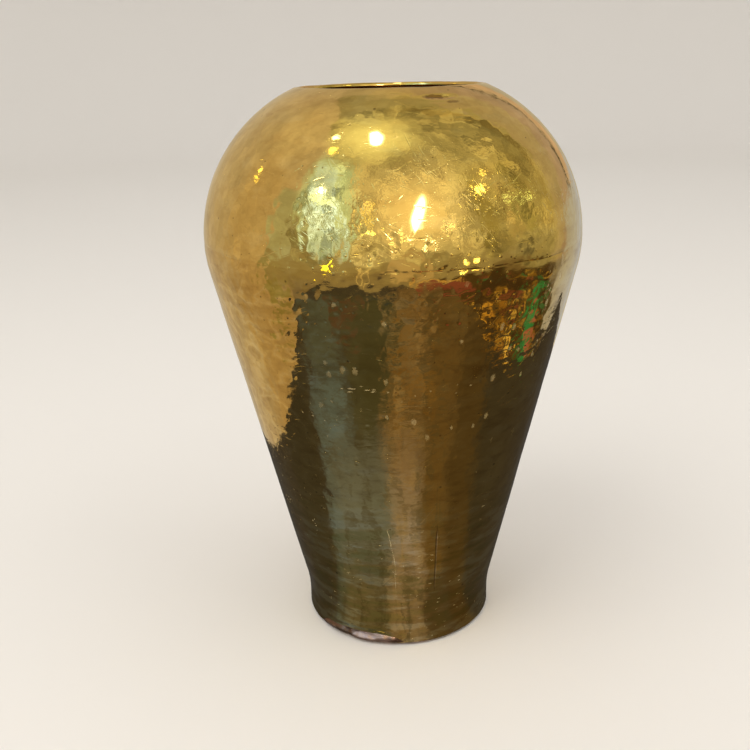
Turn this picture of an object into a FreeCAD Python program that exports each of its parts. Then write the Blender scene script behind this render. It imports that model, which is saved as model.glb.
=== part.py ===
"""Brass planter pot: a hammered sheet-brass vessel, brazed up from three sheets round a wired mouth.

Frame: +Z up, origin at the centre of the foot on the surface that the pot stands on, front towards -Y.
Millimetres and degrees. Every size comes from the sheet "dims".
"""
import FreeCAD, Part
import math
import os
import sys

import Sketcher

DIMENSIONS = {
    # overall form
    "height": 450,
    "belly_radius": 150,
    "belly_height": 335,
    "foot_radius": 80.5,
    "mouth_radius": 70,
    # curve between the foot and the taper, and between the taper and the widest ring
    "foot_rise": 14,
    "flare_radius": 110,
    "belly_turn": 95,
    # stock
    "sheet_gauge": 1.2,
    "braze_film": 0.15,
    "wire_radius": 1.25,
    "curl_angle": 285,
    # girth joint: the shoulder's skirt drops inside the wall's top edge
    "girth_lap": 10,
    "girth_step": 2,
    # side joint: one end of the rolled wall steps in and runs under the other
    "side_azimuth": -71.5,
    "side_lap_angle": 8,
    "side_step_angle": 0.8,
    "side_lap_low": 40,
    "side_lap_high": 312,
    # base joint: the pan's flange stands up inside the foot of the wall
    "wall_lift": 2,
    "flange_top": 14,
    "braze_leg": 2.5,
    # the wall's lower edge is trimmed short in a shallow arch at the front left
    "trim_azimuth": -118,
    "trim_half_width": 40,
    "trim_height": 9,
    # base pan
    "pan_corner": 3.5,
    "stand_inner_radius": 58,
    "panel_radius": 50,
    "panel_rise": 6,
    "panel_bend": 2.5,
}

ORIGIN = (-1, 1)  # Sketcher's name for the sketch's own origin point
START, END, CENTRE = 1, 2, 3  # Sketcher's names for the points of an edge
GROUND, AXIS = -1, -2  # Sketcher's names for a sketch's own level and upright axes
SAME_RADIUS = 0.01  # circles whose radii differ by less than this are taken as the same

doc = FreeCAD.newDocument("brass_planter_pot")


def make_sheet():
    """The spreadsheet of driving dimensions."""
    sheet = doc.addObject("Spreadsheet::Sheet", "dims")
    for row, (name, value) in enumerate(DIMENSIONS.items(), start=1):
        sheet.set(f"A{row}", name)
        sheet.set(f"B{row}", str(value))
        sheet.setAlias(f"B{row}", name)
    doc.recompute()
    return sheet


dims = make_sheet()


def size(name):
    """A driving dimension's value, for placing a sketch's first guess."""
    return float(dims.get(name))


def taper_half_angle():
    """Angle in radians between the taper and the axis: the line that touches both turning arcs."""
    rise = size("belly_height") - size("foot_rise")
    reach = size("belly_radius") - size("foot_radius")
    radii = size("flare_radius") + size("belly_turn")
    return math.asin(radii / math.hypot(rise, radii - reach)) - math.atan2(radii - reach, rise)


def dome_radius():
    """Radius of the arc that leaves the widest ring upright and runs on into the mouth's curl."""
    curl = size("wire_radius") + size("sheet_gauge")
    across = size("mouth_radius") + curl - size("belly_radius")
    up = size("height") - curl - size("belly_height")
    return (curl**2 - across**2 - up**2) / (2 * (across + curl))


class Section:
    """A sketch in an upright half plane of one body: x is the radius, y the height."""

    def __init__(self, body, name, turn=None):
        self.sketch = body.newObject("Sketcher::SketchObject", name)
        plane = next(f for f in body.Origin.OriginFeatures if f.Role == "XZ_Plane")
        self.sketch.AttachmentSupport = [(plane, "")]
        self.sketch.MapMode = "FlatFace"
        self.edges = []
        self.constraints = []
        self.formulas = {}
        if turn is not None:
            self.sketch.AttachmentOffset = FreeCAD.Placement(
                FreeCAD.Vector(0, 0, 0), FreeCAD.Rotation(FreeCAD.Vector(0, 1, 0), -1)
            )
            self.sketch.setExpression("AttachmentOffset.Rotation.Angle", turn)

    def add(self, shape, construction=False):
        self.edges.append((shape, construction))
        return len(self.edges) - 1

    def line(self, start, end):
        return self.add(Part.LineSegment(FreeCAD.Vector(*start, 0), FreeCAD.Vector(*end, 0)))

    def circle(self, centre, radius):
        """A construction circle."""
        return self.add(Part.Circle(FreeCAD.Vector(*centre, 0), FreeCAD.Vector(0, 0, 1), radius), True)

    def arc(self, centre, radius, first, last):
        """An arc that runs anticlockwise between two angles in radians."""
        whole = Part.Circle(FreeCAD.Vector(*centre, 0), FreeCAD.Vector(0, 0, 1), radius)
        return self.add(Part.ArcOfCircle(whole, first, last))

    def point(self, place):
        return self.add(Part.Point(FreeCAD.Vector(*place, 0)), True)

    def tie(self, kind, *where):
        """A constraint with no size, such as Coincident or Tangent."""
        self.constraints.append(Sketcher.Constraint(kind, *where))

    def chain(self, kind, *pairs):
        """The same kind of join at several places, each (edge, its point, next edge, its point)."""
        for pair in pairs:
            self.tie(kind, *pair)

    def fix(self, kind, where, formula):
        """A constraint whose size follows a formula in the sheet's names."""
        self.formulas[len(self.constraints)] = formula
        self.tie(kind, *where, self.value(formula))

    def place(self, edge, point, across=None, up=None):
        """Fixes a point's radius, its height or both."""
        if across is not None:
            self.fix("DistanceX", (*ORIGIN, edge, point), across)
        if up is not None:
            self.fix("DistanceY", (*ORIGIN, edge, point), up)

    def finish(self):
        """Puts the edges and the constraints into the sketch and binds the sizes to the sheet."""
        for shape, construction in self.edges:
            self.sketch.addGeometry(shape, construction)
        self.sketch.addConstraint(self.constraints)
        for index, formula in self.formulas.items():
            self.sketch.setExpression(f"Constraints[{index}]", formula)
        return self.sketch

    @staticmethod
    def value(formula):
        """What a formula in the sheet's names comes to."""
        return float(dims.evalExpression(formula))


def new_body(name):
    body = doc.addObject("PartDesign::Body", name)
    body.Label = name
    return body


def revolve(body, name, section, angle="360", reverse=False):
    """Turns a section about the pot's axis by an angle in degrees, given as a formula."""
    feature = body.newObject("PartDesign::Revolution", name)
    sketch = section.finish()
    feature.Profile = sketch
    feature.ReferenceAxis = (sketch, ["V_Axis"])
    feature.setExpression("Angle", angle)
    feature.Reversed = reverse
    return feature


def wall_section(body):
    """The wall's sheet from the foot to the widest ring, upright at both ends."""
    angle = taper_half_angle()
    gauge = size("sheet_gauge")
    foot, belly = size("foot_radius"), size("belly_radius")
    flare, turn = size("flare_radius"), size("belly_turn")
    lift, rise, top = size("wall_lift"), size("foot_rise"), size("belly_height")
    flare_centre = (foot + flare, rise)
    belly_centre = (belly - turn, top)

    def flare_point(radius):
        return (flare_centre[0] - radius * math.cos(angle), rise + radius * math.sin(angle))

    def belly_point(radius):
        return (belly_centre[0] + radius * math.cos(angle), top - radius * math.sin(angle))

    s = Section(body, "wall_section")
    outer_foot = s.line((foot, lift), (foot, rise))
    outer_flare = s.arc(flare_centre, flare, math.pi - angle, math.pi)
    outer_cone = s.line(flare_point(flare), belly_point(turn))
    outer_belly = s.arc(belly_centre, turn, -angle, 0)
    top_edge = s.line((belly, top), (belly - gauge, top))
    inner_belly = s.arc(belly_centre, turn - gauge, -angle, 0)
    inner_cone = s.line(belly_point(turn - gauge), flare_point(flare + gauge))
    inner_flare = s.arc(flare_centre, flare + gauge, math.pi - angle, math.pi)
    inner_foot = s.line((foot - gauge, rise), (foot - gauge, lift))
    bottom_edge = s.line((foot - gauge, lift), (foot, lift))
    s.chain(
        "Tangent",
        (outer_foot, END, outer_flare, END),
        (outer_flare, START, outer_cone, START),
        (outer_cone, END, outer_belly, START),
        (inner_belly, START, inner_cone, START),
        (inner_cone, END, inner_flare, START),
        (inner_flare, END, inner_foot, START),
    )
    s.chain(
        "Coincident",
        (outer_belly, END, top_edge, START),
        (top_edge, END, inner_belly, END),
        (inner_foot, END, bottom_edge, START),
        (bottom_edge, END, outer_foot, START),
        (outer_belly, CENTRE, inner_belly, CENTRE),
        (outer_flare, CENTRE, inner_flare, CENTRE),
    )
    for upright in (outer_foot, inner_foot):
        s.tie("Vertical", upright)
    for level in (top_edge, bottom_edge):
        s.tie("Horizontal", level)
    s.tie("Horizontal", outer_belly, CENTRE, outer_belly, END)
    s.place(outer_foot, START, "dims.foot_radius", "dims.wall_lift")
    s.place(outer_foot, END, up="dims.foot_rise")
    s.place(outer_belly, END, "dims.belly_radius", "dims.belly_height")
    s.fix("Radius", (outer_flare,), "dims.flare_radius")
    s.fix("Radius", (inner_flare,), "dims.flare_radius + dims.sheet_gauge")
    s.fix("Radius", (outer_belly,), "dims.belly_turn")
    s.fix("Radius", (inner_belly,), "dims.belly_turn - dims.sheet_gauge")
    return s


def taper_wall():
    """The lower wall: a cone rolled from sheet, with its ends lapped in the side joint."""
    body = new_body("taper_wall")
    revolve(body, "wall_turn", wall_section(body), "360 - dims.side_step_angle")

    # The end of the sheet steps in over a narrow angle, then runs under the sheet's first end.
    gone_under = "dims.sheet_gauge + dims.braze_film"
    step_start = cone_band(Section(body, "step_start", "-dims.side_step_angle"), "0")
    step_end = cone_band(Section(body, "step_end"), gone_under)
    step = body.newObject("PartDesign::AdditiveLoft", "side_step")
    step.Profile = step_start.finish()
    step.Sections = [step_end.finish()]
    step.Ruled = True
    tongue = cone_band(Section(body, "tongue_section"), gone_under)
    revolve(body, "side_tongue", tongue, "dims.side_lap_angle")
    trim_foot(body, "dims.trim_azimuth - dims.side_azimuth")
    return body


def trim_foot(body, azimuth):
    """Cuts the shallow arch out of the lower edge, facing an azimuth given as a formula."""
    half_width, height = size("trim_half_width"), size("trim_height")
    radius = (half_width**2 + height**2) / (2 * height)
    half_turn = math.asin(half_width / radius)
    s = Section(body, "trim_section", f"{azimuth} + 90")
    arch = s.arc((0, height - radius), radius, math.pi / 2 - half_turn, math.pi / 2 + half_turn)
    chord = s.line((-half_width, 0), (half_width, 0))
    crown = s.point((0, height))
    s.chain("Coincident", (arch, END, chord, START), (arch, START, chord, END))
    s.place(chord, START, "-dims.trim_half_width", "0")
    s.place(chord, END, "dims.trim_half_width", "0")
    s.place(crown, START, "0", "dims.trim_height")
    s.tie("PointOnObject", crown, START, arch)
    doc.recompute()
    whole = body.Shape.Volume
    trim = body.newObject("PartDesign::Pocket", "foot_trim")
    trim.Profile = s.finish()
    trim.setExpression("Length", "dims.belly_radius")
    trim.Reversed = True
    doc.recompute()
    if body.Shape.Volume >= whole:
        sys.exit(f"{body.Label}: the arch cuts nothing")


def cone_band(section, depth, thickness="dims.sheet_gauge"):
    """A strip of the taper between two heights, its outer face at a depth inside the wall's outer face."""
    angle = taper_half_angle()
    inset = section.value(depth)
    layer = section.value(thickness)
    low, high = size("side_lap_low"), size("side_lap_high")
    flare_centre = (size("foot_radius") + size("flare_radius"), size("foot_rise"))
    belly_centre = (size("belly_radius") - size("belly_turn"), size("belly_height"))
    touch_radius = size("flare_radius") + inset
    touch = (
        flare_centre[0] - touch_radius * math.cos(angle),
        flare_centre[1] + touch_radius * math.sin(angle),
    )

    def on_cone(height, deeper=0.0):
        return (touch[0] + (height - touch[1]) * math.tan(angle) - deeper / math.cos(angle), height)

    flare = section.circle(flare_centre, touch_radius)
    belly = section.circle(belly_centre, size("belly_turn") - inset)
    outer = section.line(on_cone(low), on_cone(high))
    head = section.line(on_cone(high), on_cone(high, layer))
    inner = section.line(on_cone(high, layer), on_cone(low, layer))
    tail = section.line(on_cone(low, layer), on_cone(low))
    section.chain(
        "Coincident",
        (outer, END, head, START),
        (head, END, inner, START),
        (inner, END, tail, START),
        (tail, END, outer, START),
    )
    section.tie("Horizontal", head)
    section.tie("Horizontal", tail)
    section.tie("Parallel", outer, inner)
    section.tie("Tangent", outer, flare)
    section.tie("Tangent", outer, belly)
    section.fix("Radius", (flare,), f"dims.flare_radius + {depth}")
    section.place(flare, CENTRE, "dims.foot_radius + dims.flare_radius", "dims.foot_rise")
    section.place(belly, CENTRE, "dims.belly_radius - dims.belly_turn", "dims.belly_height")
    section.fix("Radius", (belly,), f"dims.belly_turn - {depth.replace('+', '-')}")
    section.place(outer, START, up="dims.side_lap_low")
    section.place(outer, END, up="dims.side_lap_high")
    section.fix("Distance", (inner, START, outer), thickness)
    return section


def shoulder_shell():
    """The dome above the widest ring, with its skirt below and the mouth's curl above."""
    body = new_body("shoulder_shell")
    gauge, film, wire = size("sheet_gauge"), size("braze_film"), size("wire_radius")
    belly, ring = size("belly_radius"), size("belly_height")
    turn = size("belly_turn")
    dome = dome_radius()
    dome_centre = (belly - dome, ring)
    skirt_centre = (belly - turn, ring)
    skirt = turn - gauge - film
    curl = wire + gauge
    curl_centre = (size("mouth_radius") + curl, size("height") - curl)
    lean = math.atan2(curl_centre[1] - dome_centre[1], curl_centre[0] - dome_centre[0])
    sweep = math.radians(size("curl_angle"))
    step = size("girth_step")
    drop = math.asin(size("girth_lap") / skirt)

    def polar(centre, radius, angle):
        return (centre[0] + radius * math.cos(angle), centre[1] + radius * math.sin(angle))

    rise_outer = math.asin(step / dome)
    rise_inner = math.asin(step / (dome - gauge))
    s = Section(body, "shoulder_section")
    outer_dome = s.arc(dome_centre, dome, rise_outer, lean)
    outer_curl = s.arc(curl_centre, curl, lean, lean + sweep)
    curl_edge = s.line(polar(curl_centre, curl, lean + sweep), polar(curl_centre, wire, lean + sweep))
    inner_curl = s.arc(curl_centre, wire, lean, lean + sweep)
    inner_dome = s.arc(dome_centre, dome - gauge, rise_inner, lean)
    inner_step = s.line(polar(dome_centre, dome - gauge, rise_inner), polar(skirt_centre, skirt - gauge, 0))
    inner_skirt = s.arc(skirt_centre, skirt - gauge, -drop, 0)
    skirt_edge = s.line(polar(skirt_centre, skirt - gauge, -drop), polar(skirt_centre, skirt, -drop))
    outer_skirt = s.arc(skirt_centre, skirt, -drop, 0)
    outer_step = s.line(polar(skirt_centre, skirt, 0), polar(dome_centre, dome, rise_outer))
    widest = s.point((belly, ring))
    s.chain(
        "Tangent",
        (outer_dome, END, outer_curl, START),
        (inner_curl, START, inner_dome, END),
    )
    s.chain(
        "Coincident",
        (outer_curl, END, curl_edge, START),
        (curl_edge, END, inner_curl, END),
        (inner_dome, START, inner_step, START),
        (inner_step, END, inner_skirt, END),
        (inner_skirt, START, skirt_edge, START),
        (skirt_edge, END, outer_skirt, START),
        (outer_skirt, END, outer_step, START),
        (outer_step, END, outer_dome, START),
        (outer_dome, CENTRE, inner_dome, CENTRE),
        (outer_curl, CENTRE, inner_curl, CENTRE),
        (outer_skirt, CENTRE, inner_skirt, CENTRE),
    )
    s.tie("PointOnObject", widest, START, outer_dome)
    s.tie("PointOnObject", outer_skirt, CENTRE, skirt_edge)
    s.tie("PointOnObject", outer_curl, CENTRE, curl_edge)
    s.tie("Horizontal", outer_skirt, CENTRE, outer_skirt, END)
    s.tie("Horizontal", inner_skirt, CENTRE, inner_skirt, END)
    s.tie("Horizontal", outer_dome, CENTRE, widest, START)
    s.place(widest, START, "dims.belly_radius", "dims.belly_height")
    s.place(outer_skirt, CENTRE, "dims.belly_radius - dims.belly_turn", "dims.belly_height")
    s.place(outer_curl, CENTRE, "dims.mouth_radius + dims.wire_radius + dims.sheet_gauge")
    s.place(outer_curl, CENTRE, up="dims.height - dims.wire_radius - dims.sheet_gauge")
    s.place(outer_dome, START, up="dims.belly_height + dims.girth_step")
    s.place(inner_dome, START, up="dims.belly_height + dims.girth_step")
    s.place(outer_skirt, START, up="dims.belly_height - dims.girth_lap")
    s.fix("Radius", (outer_curl,), "dims.wire_radius + dims.sheet_gauge")
    s.fix("Radius", (inner_curl,), "dims.wire_radius")
    s.fix("Radius", (outer_skirt,), "dims.belly_turn - dims.sheet_gauge - dims.braze_film")
    s.fix("Radius", (inner_skirt,), "dims.belly_turn - 2 * dims.sheet_gauge - dims.braze_film")
    s.formulas[len(s.constraints)] = "dims.curl_angle * 1 deg"
    s.tie("Angle", outer_curl, sweep)
    revolve(body, "shoulder_turn", s)
    return body


def base_pan():
    """The base: a recessed panel, a flat ring to stand on and a flange that goes up inside the wall."""
    body = new_body("base_pan")
    gauge, corner = size("sheet_gauge"), size("pan_corner")
    flange = size("foot_radius") - gauge - size("braze_film")
    top, rise = size("flange_top"), size("panel_rise")
    stand, panel = size("stand_inner_radius"), size("panel_radius")
    corner_centre = (flange - corner, corner)
    quarter = math.pi / 2
    s = Section(body, "pan_section")
    panel_under = s.line((0, rise), (panel, rise))
    slope_under = s.line((panel, rise), (stand, 0))
    stand_face = s.line((stand, 0), (flange - corner, 0))
    outer_corner = s.arc(corner_centre, corner, -quarter, 0)
    flange_outer = s.line((flange, corner), (flange, top))
    flange_edge = s.line((flange, top), (flange - gauge, top))
    flange_inner = s.line((flange - gauge, top), (flange - gauge, corner))
    inner_corner = s.arc(corner_centre, corner - gauge, -quarter, 0)
    stand_top = s.line((flange - corner, gauge), (stand, gauge))
    slope_top = s.line((stand, gauge), (panel, rise + gauge))
    panel_top = s.line((panel, rise + gauge), (0, rise + gauge))
    middle = s.line((0, rise + gauge), (0, rise))
    s.chain(
        "Coincident",
        (panel_under, END, slope_under, START),
        (slope_under, END, stand_face, START),
        (flange_outer, END, flange_edge, START),
        (flange_edge, END, flange_inner, START),
        (stand_top, END, slope_top, START),
        (slope_top, END, panel_top, START),
        (panel_top, END, middle, START),
        (middle, END, panel_under, START),
        (outer_corner, CENTRE, inner_corner, CENTRE),
    )
    s.chain(
        "Tangent",
        (stand_face, END, outer_corner, START),
        (outer_corner, END, flange_outer, START),
        (flange_inner, END, inner_corner, END),
        (inner_corner, START, stand_top, START),
    )
    for level in (panel_under, stand_face, flange_edge, stand_top, panel_top):
        s.tie("Horizontal", level)
    for upright in (flange_outer, flange_inner, middle):
        s.tie("Vertical", upright)
    s.tie("Vertical", slope_under, END, stand_top, END)
    s.tie("Vertical", slope_under, START, slope_top, END)
    s.place(middle, END, up="dims.panel_rise")
    s.tie("PointOnObject", middle, END, AXIS)
    s.tie("PointOnObject", stand_face, START, GROUND)
    s.place(panel_under, END, "dims.panel_radius")
    s.place(stand_face, START, "dims.stand_inner_radius")
    s.place(flange_outer, END, "dims.foot_radius - dims.sheet_gauge - dims.braze_film", "dims.flange_top")
    s.fix("Radius", (outer_corner,), "dims.pan_corner")
    s.fix("Radius", (inner_corner,), "dims.pan_corner - dims.sheet_gauge")
    s.fix("DistanceY", (middle, END, middle, START), "dims.sheet_gauge")
    turned = revolve(body, "pan_turn", s)
    doc.recompute()

    def is_bend(edge):
        """The circles where the panel's slope meets the panel and the standing ring."""
        if not isinstance(edge.Curve, Part.Circle):
            return False
        miss = min(abs(edge.Curve.Radius - size(r)) for r in ("stand_inner_radius", "panel_radius"))
        return miss < SAME_RADIUS

    bends = body.newObject("PartDesign::Fillet", "panel_bends")
    names = [f"Edge{i}" for i, edge in enumerate(turned.Shape.Edges, start=1) if is_bend(edge)]
    bends.Base = (turned, names)
    bends.setExpression("Radius", "dims.panel_bend")
    return body


def rim_wire():
    """The wire that stiffens the mouth, lying inside the curl."""
    wire = doc.addObject("Part::Torus", "rim_wire")
    wire.Label = "rim_wire"
    wire.setExpression("Radius1", "dims.mouth_radius + dims.sheet_gauge + dims.wire_radius")
    wire.setExpression("Radius2", "dims.wire_radius")
    wire.setExpression("Placement.Base.z", "dims.height - dims.sheet_gauge - dims.wire_radius")
    return wire


def girth_braze():
    """Spelter between the shoulder's skirt and the wall, filling the groove above the wall's edge."""
    body = new_body("girth_braze")
    gauge, film = size("sheet_gauge"), size("braze_film")
    belly, ring, turn = size("belly_radius"), size("belly_height"), size("belly_turn")
    skirt = turn - gauge - film
    centre = (belly - turn, ring)
    drop = math.asin(size("girth_lap") / skirt)
    dome, step = dome_radius(), size("girth_step")
    groove_top = (belly - dome + math.sqrt(dome**2 - step**2), ring + step)

    def on_skirt(radius):
        return (centre[0] + radius * math.cos(drop), ring - radius * math.sin(drop))

    s = Section(body, "girth_section")
    skirt_side = s.arc(centre, skirt, -drop, 0)
    groove_side = s.line((belly - gauge - film, ring), groove_top)
    face = s.line(groove_top, (belly, ring))
    wall_edge = s.line((belly, ring), (belly - gauge, ring))
    wall_side = s.arc(centre, skirt + film, -drop, 0)
    foot = s.line(on_skirt(skirt + film), on_skirt(skirt))
    widest = s.point((belly, ring))
    s.chain(
        "Coincident",
        (skirt_side, END, groove_side, START),
        (groove_side, END, face, START),
        (face, END, wall_edge, START),
        (wall_edge, END, wall_side, END),
        (wall_side, START, foot, START),
        (foot, END, skirt_side, START),
        (skirt_side, CENTRE, wall_side, CENTRE),
        (widest, START, face, END),
    )
    s.tie("Horizontal", wall_edge)
    s.tie("Horizontal", skirt_side, CENTRE, skirt_side, END)
    s.tie("Horizontal", wall_side, CENTRE, wall_side, END)
    s.tie("PointOnObject", skirt_side, CENTRE, foot)
    s.place(skirt_side, CENTRE, "dims.belly_radius - dims.belly_turn", "dims.belly_height")
    s.place(widest, START, "dims.belly_radius")
    s.place(skirt_side, START, up="dims.belly_height - dims.girth_lap")
    s.place(groove_side, END, up="dims.belly_height + dims.girth_step")
    # The groove's top lies on the dome, whose arc leaves the widest ring upright.
    dome_arc = s.circle((belly - dome, ring), dome)
    curl = size("wire_radius") + gauge
    curl_arc = s.circle((size("mouth_radius") + curl, size("height") - curl), curl)
    s.tie("PointOnObject", widest, START, dome_arc)
    s.tie("PointOnObject", groove_side, END, dome_arc)
    s.tie("Horizontal", dome_arc, CENTRE, widest, START)
    s.tie("Tangent", dome_arc, curl_arc)
    s.place(curl_arc, CENTRE, "dims.mouth_radius + dims.wire_radius + dims.sheet_gauge")
    s.place(curl_arc, CENTRE, up="dims.height - dims.wire_radius - dims.sheet_gauge")
    s.fix("Radius", (curl_arc,), "dims.wire_radius + dims.sheet_gauge")
    s.fix("Radius", (skirt_side,), "dims.belly_turn - dims.sheet_gauge - dims.braze_film")
    s.fix("Radius", (wall_side,), "dims.belly_turn - dims.sheet_gauge")
    revolve(body, "girth_turn", s)
    return body


def base_braze():
    """Spelter between the pan's flange and the wall, with a fillet inside above the flange."""
    body = new_body("base_braze")
    gauge, film, leg = size("sheet_gauge"), size("braze_film"), size("braze_leg")
    wall = size("foot_radius") - gauge
    lift, top = size("wall_lift"), size("flange_top")
    s = Section(body, "base_section")
    wall_side = s.line((wall, lift), (wall, top + leg))
    fillet = s.line((wall, top + leg), (wall - film - gauge, top))
    flange_edge = s.line((wall - film - gauge, top), (wall - film, top))
    flange_side = s.line((wall - film, top), (wall - film, lift))
    foot = s.line((wall - film, lift), (wall, lift))
    edges = (wall_side, fillet, flange_edge, flange_side, foot)
    for edge, following in zip(edges, edges[1:] + edges[:1]):
        s.tie("Coincident", edge, END, following, START)
    for upright in (wall_side, flange_side):
        s.tie("Vertical", upright)
    for level in (flange_edge, foot):
        s.tie("Horizontal", level)
    s.place(wall_side, START, "dims.foot_radius - dims.sheet_gauge", "dims.wall_lift")
    s.place(wall_side, END, up="dims.flange_top + dims.braze_leg")
    s.place(flange_side, START, "dims.foot_radius - dims.sheet_gauge - dims.braze_film", "dims.flange_top")
    s.place(flange_edge, START, "dims.foot_radius - 2 * dims.sheet_gauge - dims.braze_film")
    revolve(body, "base_turn", s)
    trim_foot(body, "dims.trim_azimuth")
    return body


def side_braze(wall):
    """Spelter in the side joint: the groove over the step, and the film under the lap."""
    groove = new_body("side_groove")
    revolve(groove, "groove_turn", wall_section(groove), "dims.side_step_angle", reverse=True)
    film = cone_band(Section(groove, "film_section"), "dims.sheet_gauge", "dims.braze_film")
    revolve(groove, "film_in_step", film, "dims.side_step_angle / 4", reverse=True)
    lap = cone_band(Section(groove, "lap_section"), "dims.sheet_gauge", "dims.braze_film")
    revolve(groove, "film_in_lap", lap, "dims.side_lap_angle")
    groove.setExpression("Placement", "taper_wall.Placement")
    cut = doc.addObject("Part::Cut", "side_braze")
    cut.Label = "side_braze"
    cut.Base = groove
    cut.Tool = wall
    return cut


def turn_side_joint(wall):
    """Faces the side joint to its azimuth, measured anticlockwise from +X."""
    wall.Placement = FreeCAD.Placement(FreeCAD.Vector(0, 0, 0), FreeCAD.Rotation(FreeCAD.Vector(0, 0, 1), -1))
    wall.setExpression("Placement.Rotation.Angle", "dims.side_azimuth * 1 deg")


def check(parts):
    """Stops unless every object recomputed and every sub-part is a sound closed solid."""
    for item in doc.Objects:
        if "Invalid" in item.State or "Error" in item.State:
            sys.exit(f"{item.Name} failed: {item.State}")
        if item.TypeId == "Sketcher::SketchObject" and not item.FullyConstrained:
            sys.exit(f"{item.Name} isn't fully constrained")
    for part in parts:
        shape = part.Shape
        if shape.isNull() or not shape.isValid() or not shape.Solids or shape.Volume <= 0:
            sys.exit(f"{part.Label} has no sound solid")


wall = taper_wall()
turn_side_joint(wall)
doc.recompute()
parts = [wall, shoulder_shell(), base_pan(), rim_wire(), girth_braze(), base_braze(), side_braze(wall)]
doc.recompute()
check(parts)
os.makedirs("parts", exist_ok=True)
for part in parts:
    part.Shape.exportStep(f"parts/{part.Label}.step")
    box = part.Shape.optimalBoundingBox(False, False)
    print(
        f"{part.Label}: {len(part.Shape.Solids)} solid, {part.Shape.Volume / 1000:.2f} cm3,"
        f" z {box.ZMin:.2f} to {box.ZMax:.2f}, widest {box.XLength:.2f}"
    )
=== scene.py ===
"""Looks of the hammered brass planter pot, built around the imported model. Metres, +Z up, front to -Y."""

import math

import bmesh
import bpy
import numpy as np
from mathutils import Matrix, Vector


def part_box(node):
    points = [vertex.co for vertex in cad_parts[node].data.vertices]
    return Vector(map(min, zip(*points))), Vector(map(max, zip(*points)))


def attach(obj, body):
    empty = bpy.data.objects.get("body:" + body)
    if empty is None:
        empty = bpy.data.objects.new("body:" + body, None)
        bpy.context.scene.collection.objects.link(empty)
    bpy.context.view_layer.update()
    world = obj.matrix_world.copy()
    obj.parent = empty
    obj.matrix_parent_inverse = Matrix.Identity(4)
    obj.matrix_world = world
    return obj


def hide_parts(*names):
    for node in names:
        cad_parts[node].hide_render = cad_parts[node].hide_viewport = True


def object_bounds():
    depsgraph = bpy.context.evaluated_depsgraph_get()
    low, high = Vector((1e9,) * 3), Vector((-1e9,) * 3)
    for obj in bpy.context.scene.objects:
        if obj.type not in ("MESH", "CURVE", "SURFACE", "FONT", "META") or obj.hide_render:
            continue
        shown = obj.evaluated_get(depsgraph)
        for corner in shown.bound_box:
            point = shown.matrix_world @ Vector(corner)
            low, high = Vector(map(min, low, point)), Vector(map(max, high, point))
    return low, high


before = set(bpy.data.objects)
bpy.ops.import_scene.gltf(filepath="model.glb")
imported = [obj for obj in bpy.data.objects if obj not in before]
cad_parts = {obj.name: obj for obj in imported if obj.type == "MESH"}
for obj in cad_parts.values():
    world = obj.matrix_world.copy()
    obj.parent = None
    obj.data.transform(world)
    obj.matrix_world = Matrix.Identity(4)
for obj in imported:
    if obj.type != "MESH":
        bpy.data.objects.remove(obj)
cad_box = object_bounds()

MM = 0.001
TURN = 2 * math.pi
DEGREES = 180 / math.pi

# Sizes that the frame gives.
HEIGHT = cad_box[1][2]
RING_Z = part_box("taper_wall")[1][2]
BELLY_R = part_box("taper_wall")[1][0]
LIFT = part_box("taper_wall")[0][2]
SKIRT_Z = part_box("shoulder_shell")[0][2]
PAN_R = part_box("base_pan")[1][0]
FLANGE_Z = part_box("base_pan")[1][2]

# The rest of the section.
GAUGE = 1.2 * MM  # thickness of the sheet
FILM = 0.15 * MM  # braze between two sheets
FOOT_R = PAN_R + GAUGE + FILM
FOOT_RISE = 14 * MM  # where the upright foot ends
FLARE_R = 110 * MM  # arc from the foot into the taper
BELLY_TURN = 95 * MM  # arc from the taper to the widest ring
RING_STEP = 2 * MM  # height of the girth joint
MOUTH_R = 70 * MM
CURL_R = 2.45 * MM  # the sheet's curl round the mouth's wire
CURL_SWEEP = math.radians(280)

SEAM_AZIMUTH = math.radians(-71.5)
SEAM_STEP = math.radians(0.8)  # width of the side joint's braze
SEAM_LAP = math.radians(8)
JOINT_DIP = 0.13 * MM  # how far the skin dips at an open girth joint
SEAM_DIRT = -71.78  # azimuth in degrees of the dirt along the side joint

UNROLL_R = 0.13  # radius at which the skin is unrolled for its scratches
COLUMN_FRONT = 0.0066  # radians between the mesh's columns at the front, and at the back
COLUMN_BACK = 0.0125
OUTER_ROW = 1.5 * MM  # between the mesh's rows on the wall's outside, and inside
INNER_ROW = 8 * MM
SHARP = math.radians(38)  # edges that turn more than this stay crisp
HAMMER_FACE = 0.105  # radius of the planishing hammer's domed face
HAMMER_TILT = 0.0055  # how much the blows' slopes vary
OUTER_SKIN = -0.12 * MM  # keeps every bulge of the hammered skin inside the smooth one
# Smoother places: azimuth in degrees, height, reach in mm, how much smoother.
CALM = [(-94.4, 0.420, 12.0, 0.9), (-83.6, 0.375, 15.0, 0.9), (-107.5, 0.388, 21.0, 0.45)]
rng = np.random.default_rng(7)


# ---------------------------------------------------------------- curves of the section


def arc_line(centre, radius, first, last, count):
    """Points on an arc between two angles in radians, as rows of (r, z)."""
    angle = np.linspace(first, last, count)
    return np.column_stack([centre[0] + radius * np.cos(angle), centre[1] + radius * np.sin(angle)])


def straight(start, end, count):
    share = np.linspace(0, 1, count)[:, None]
    return np.array(start) * (1 - share) + np.array(end) * share


def joined(*runs):
    """Runs of points end to end, each later run without its first point."""
    return np.vstack([runs[0]] + [run[1:] for run in runs[1:]])


def bent_line(points, counts):
    """Straight runs from point to point, each with so many points."""
    return joined(*(straight(start, end, count) for start, end, count in zip(points, points[1:], counts)))


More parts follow.
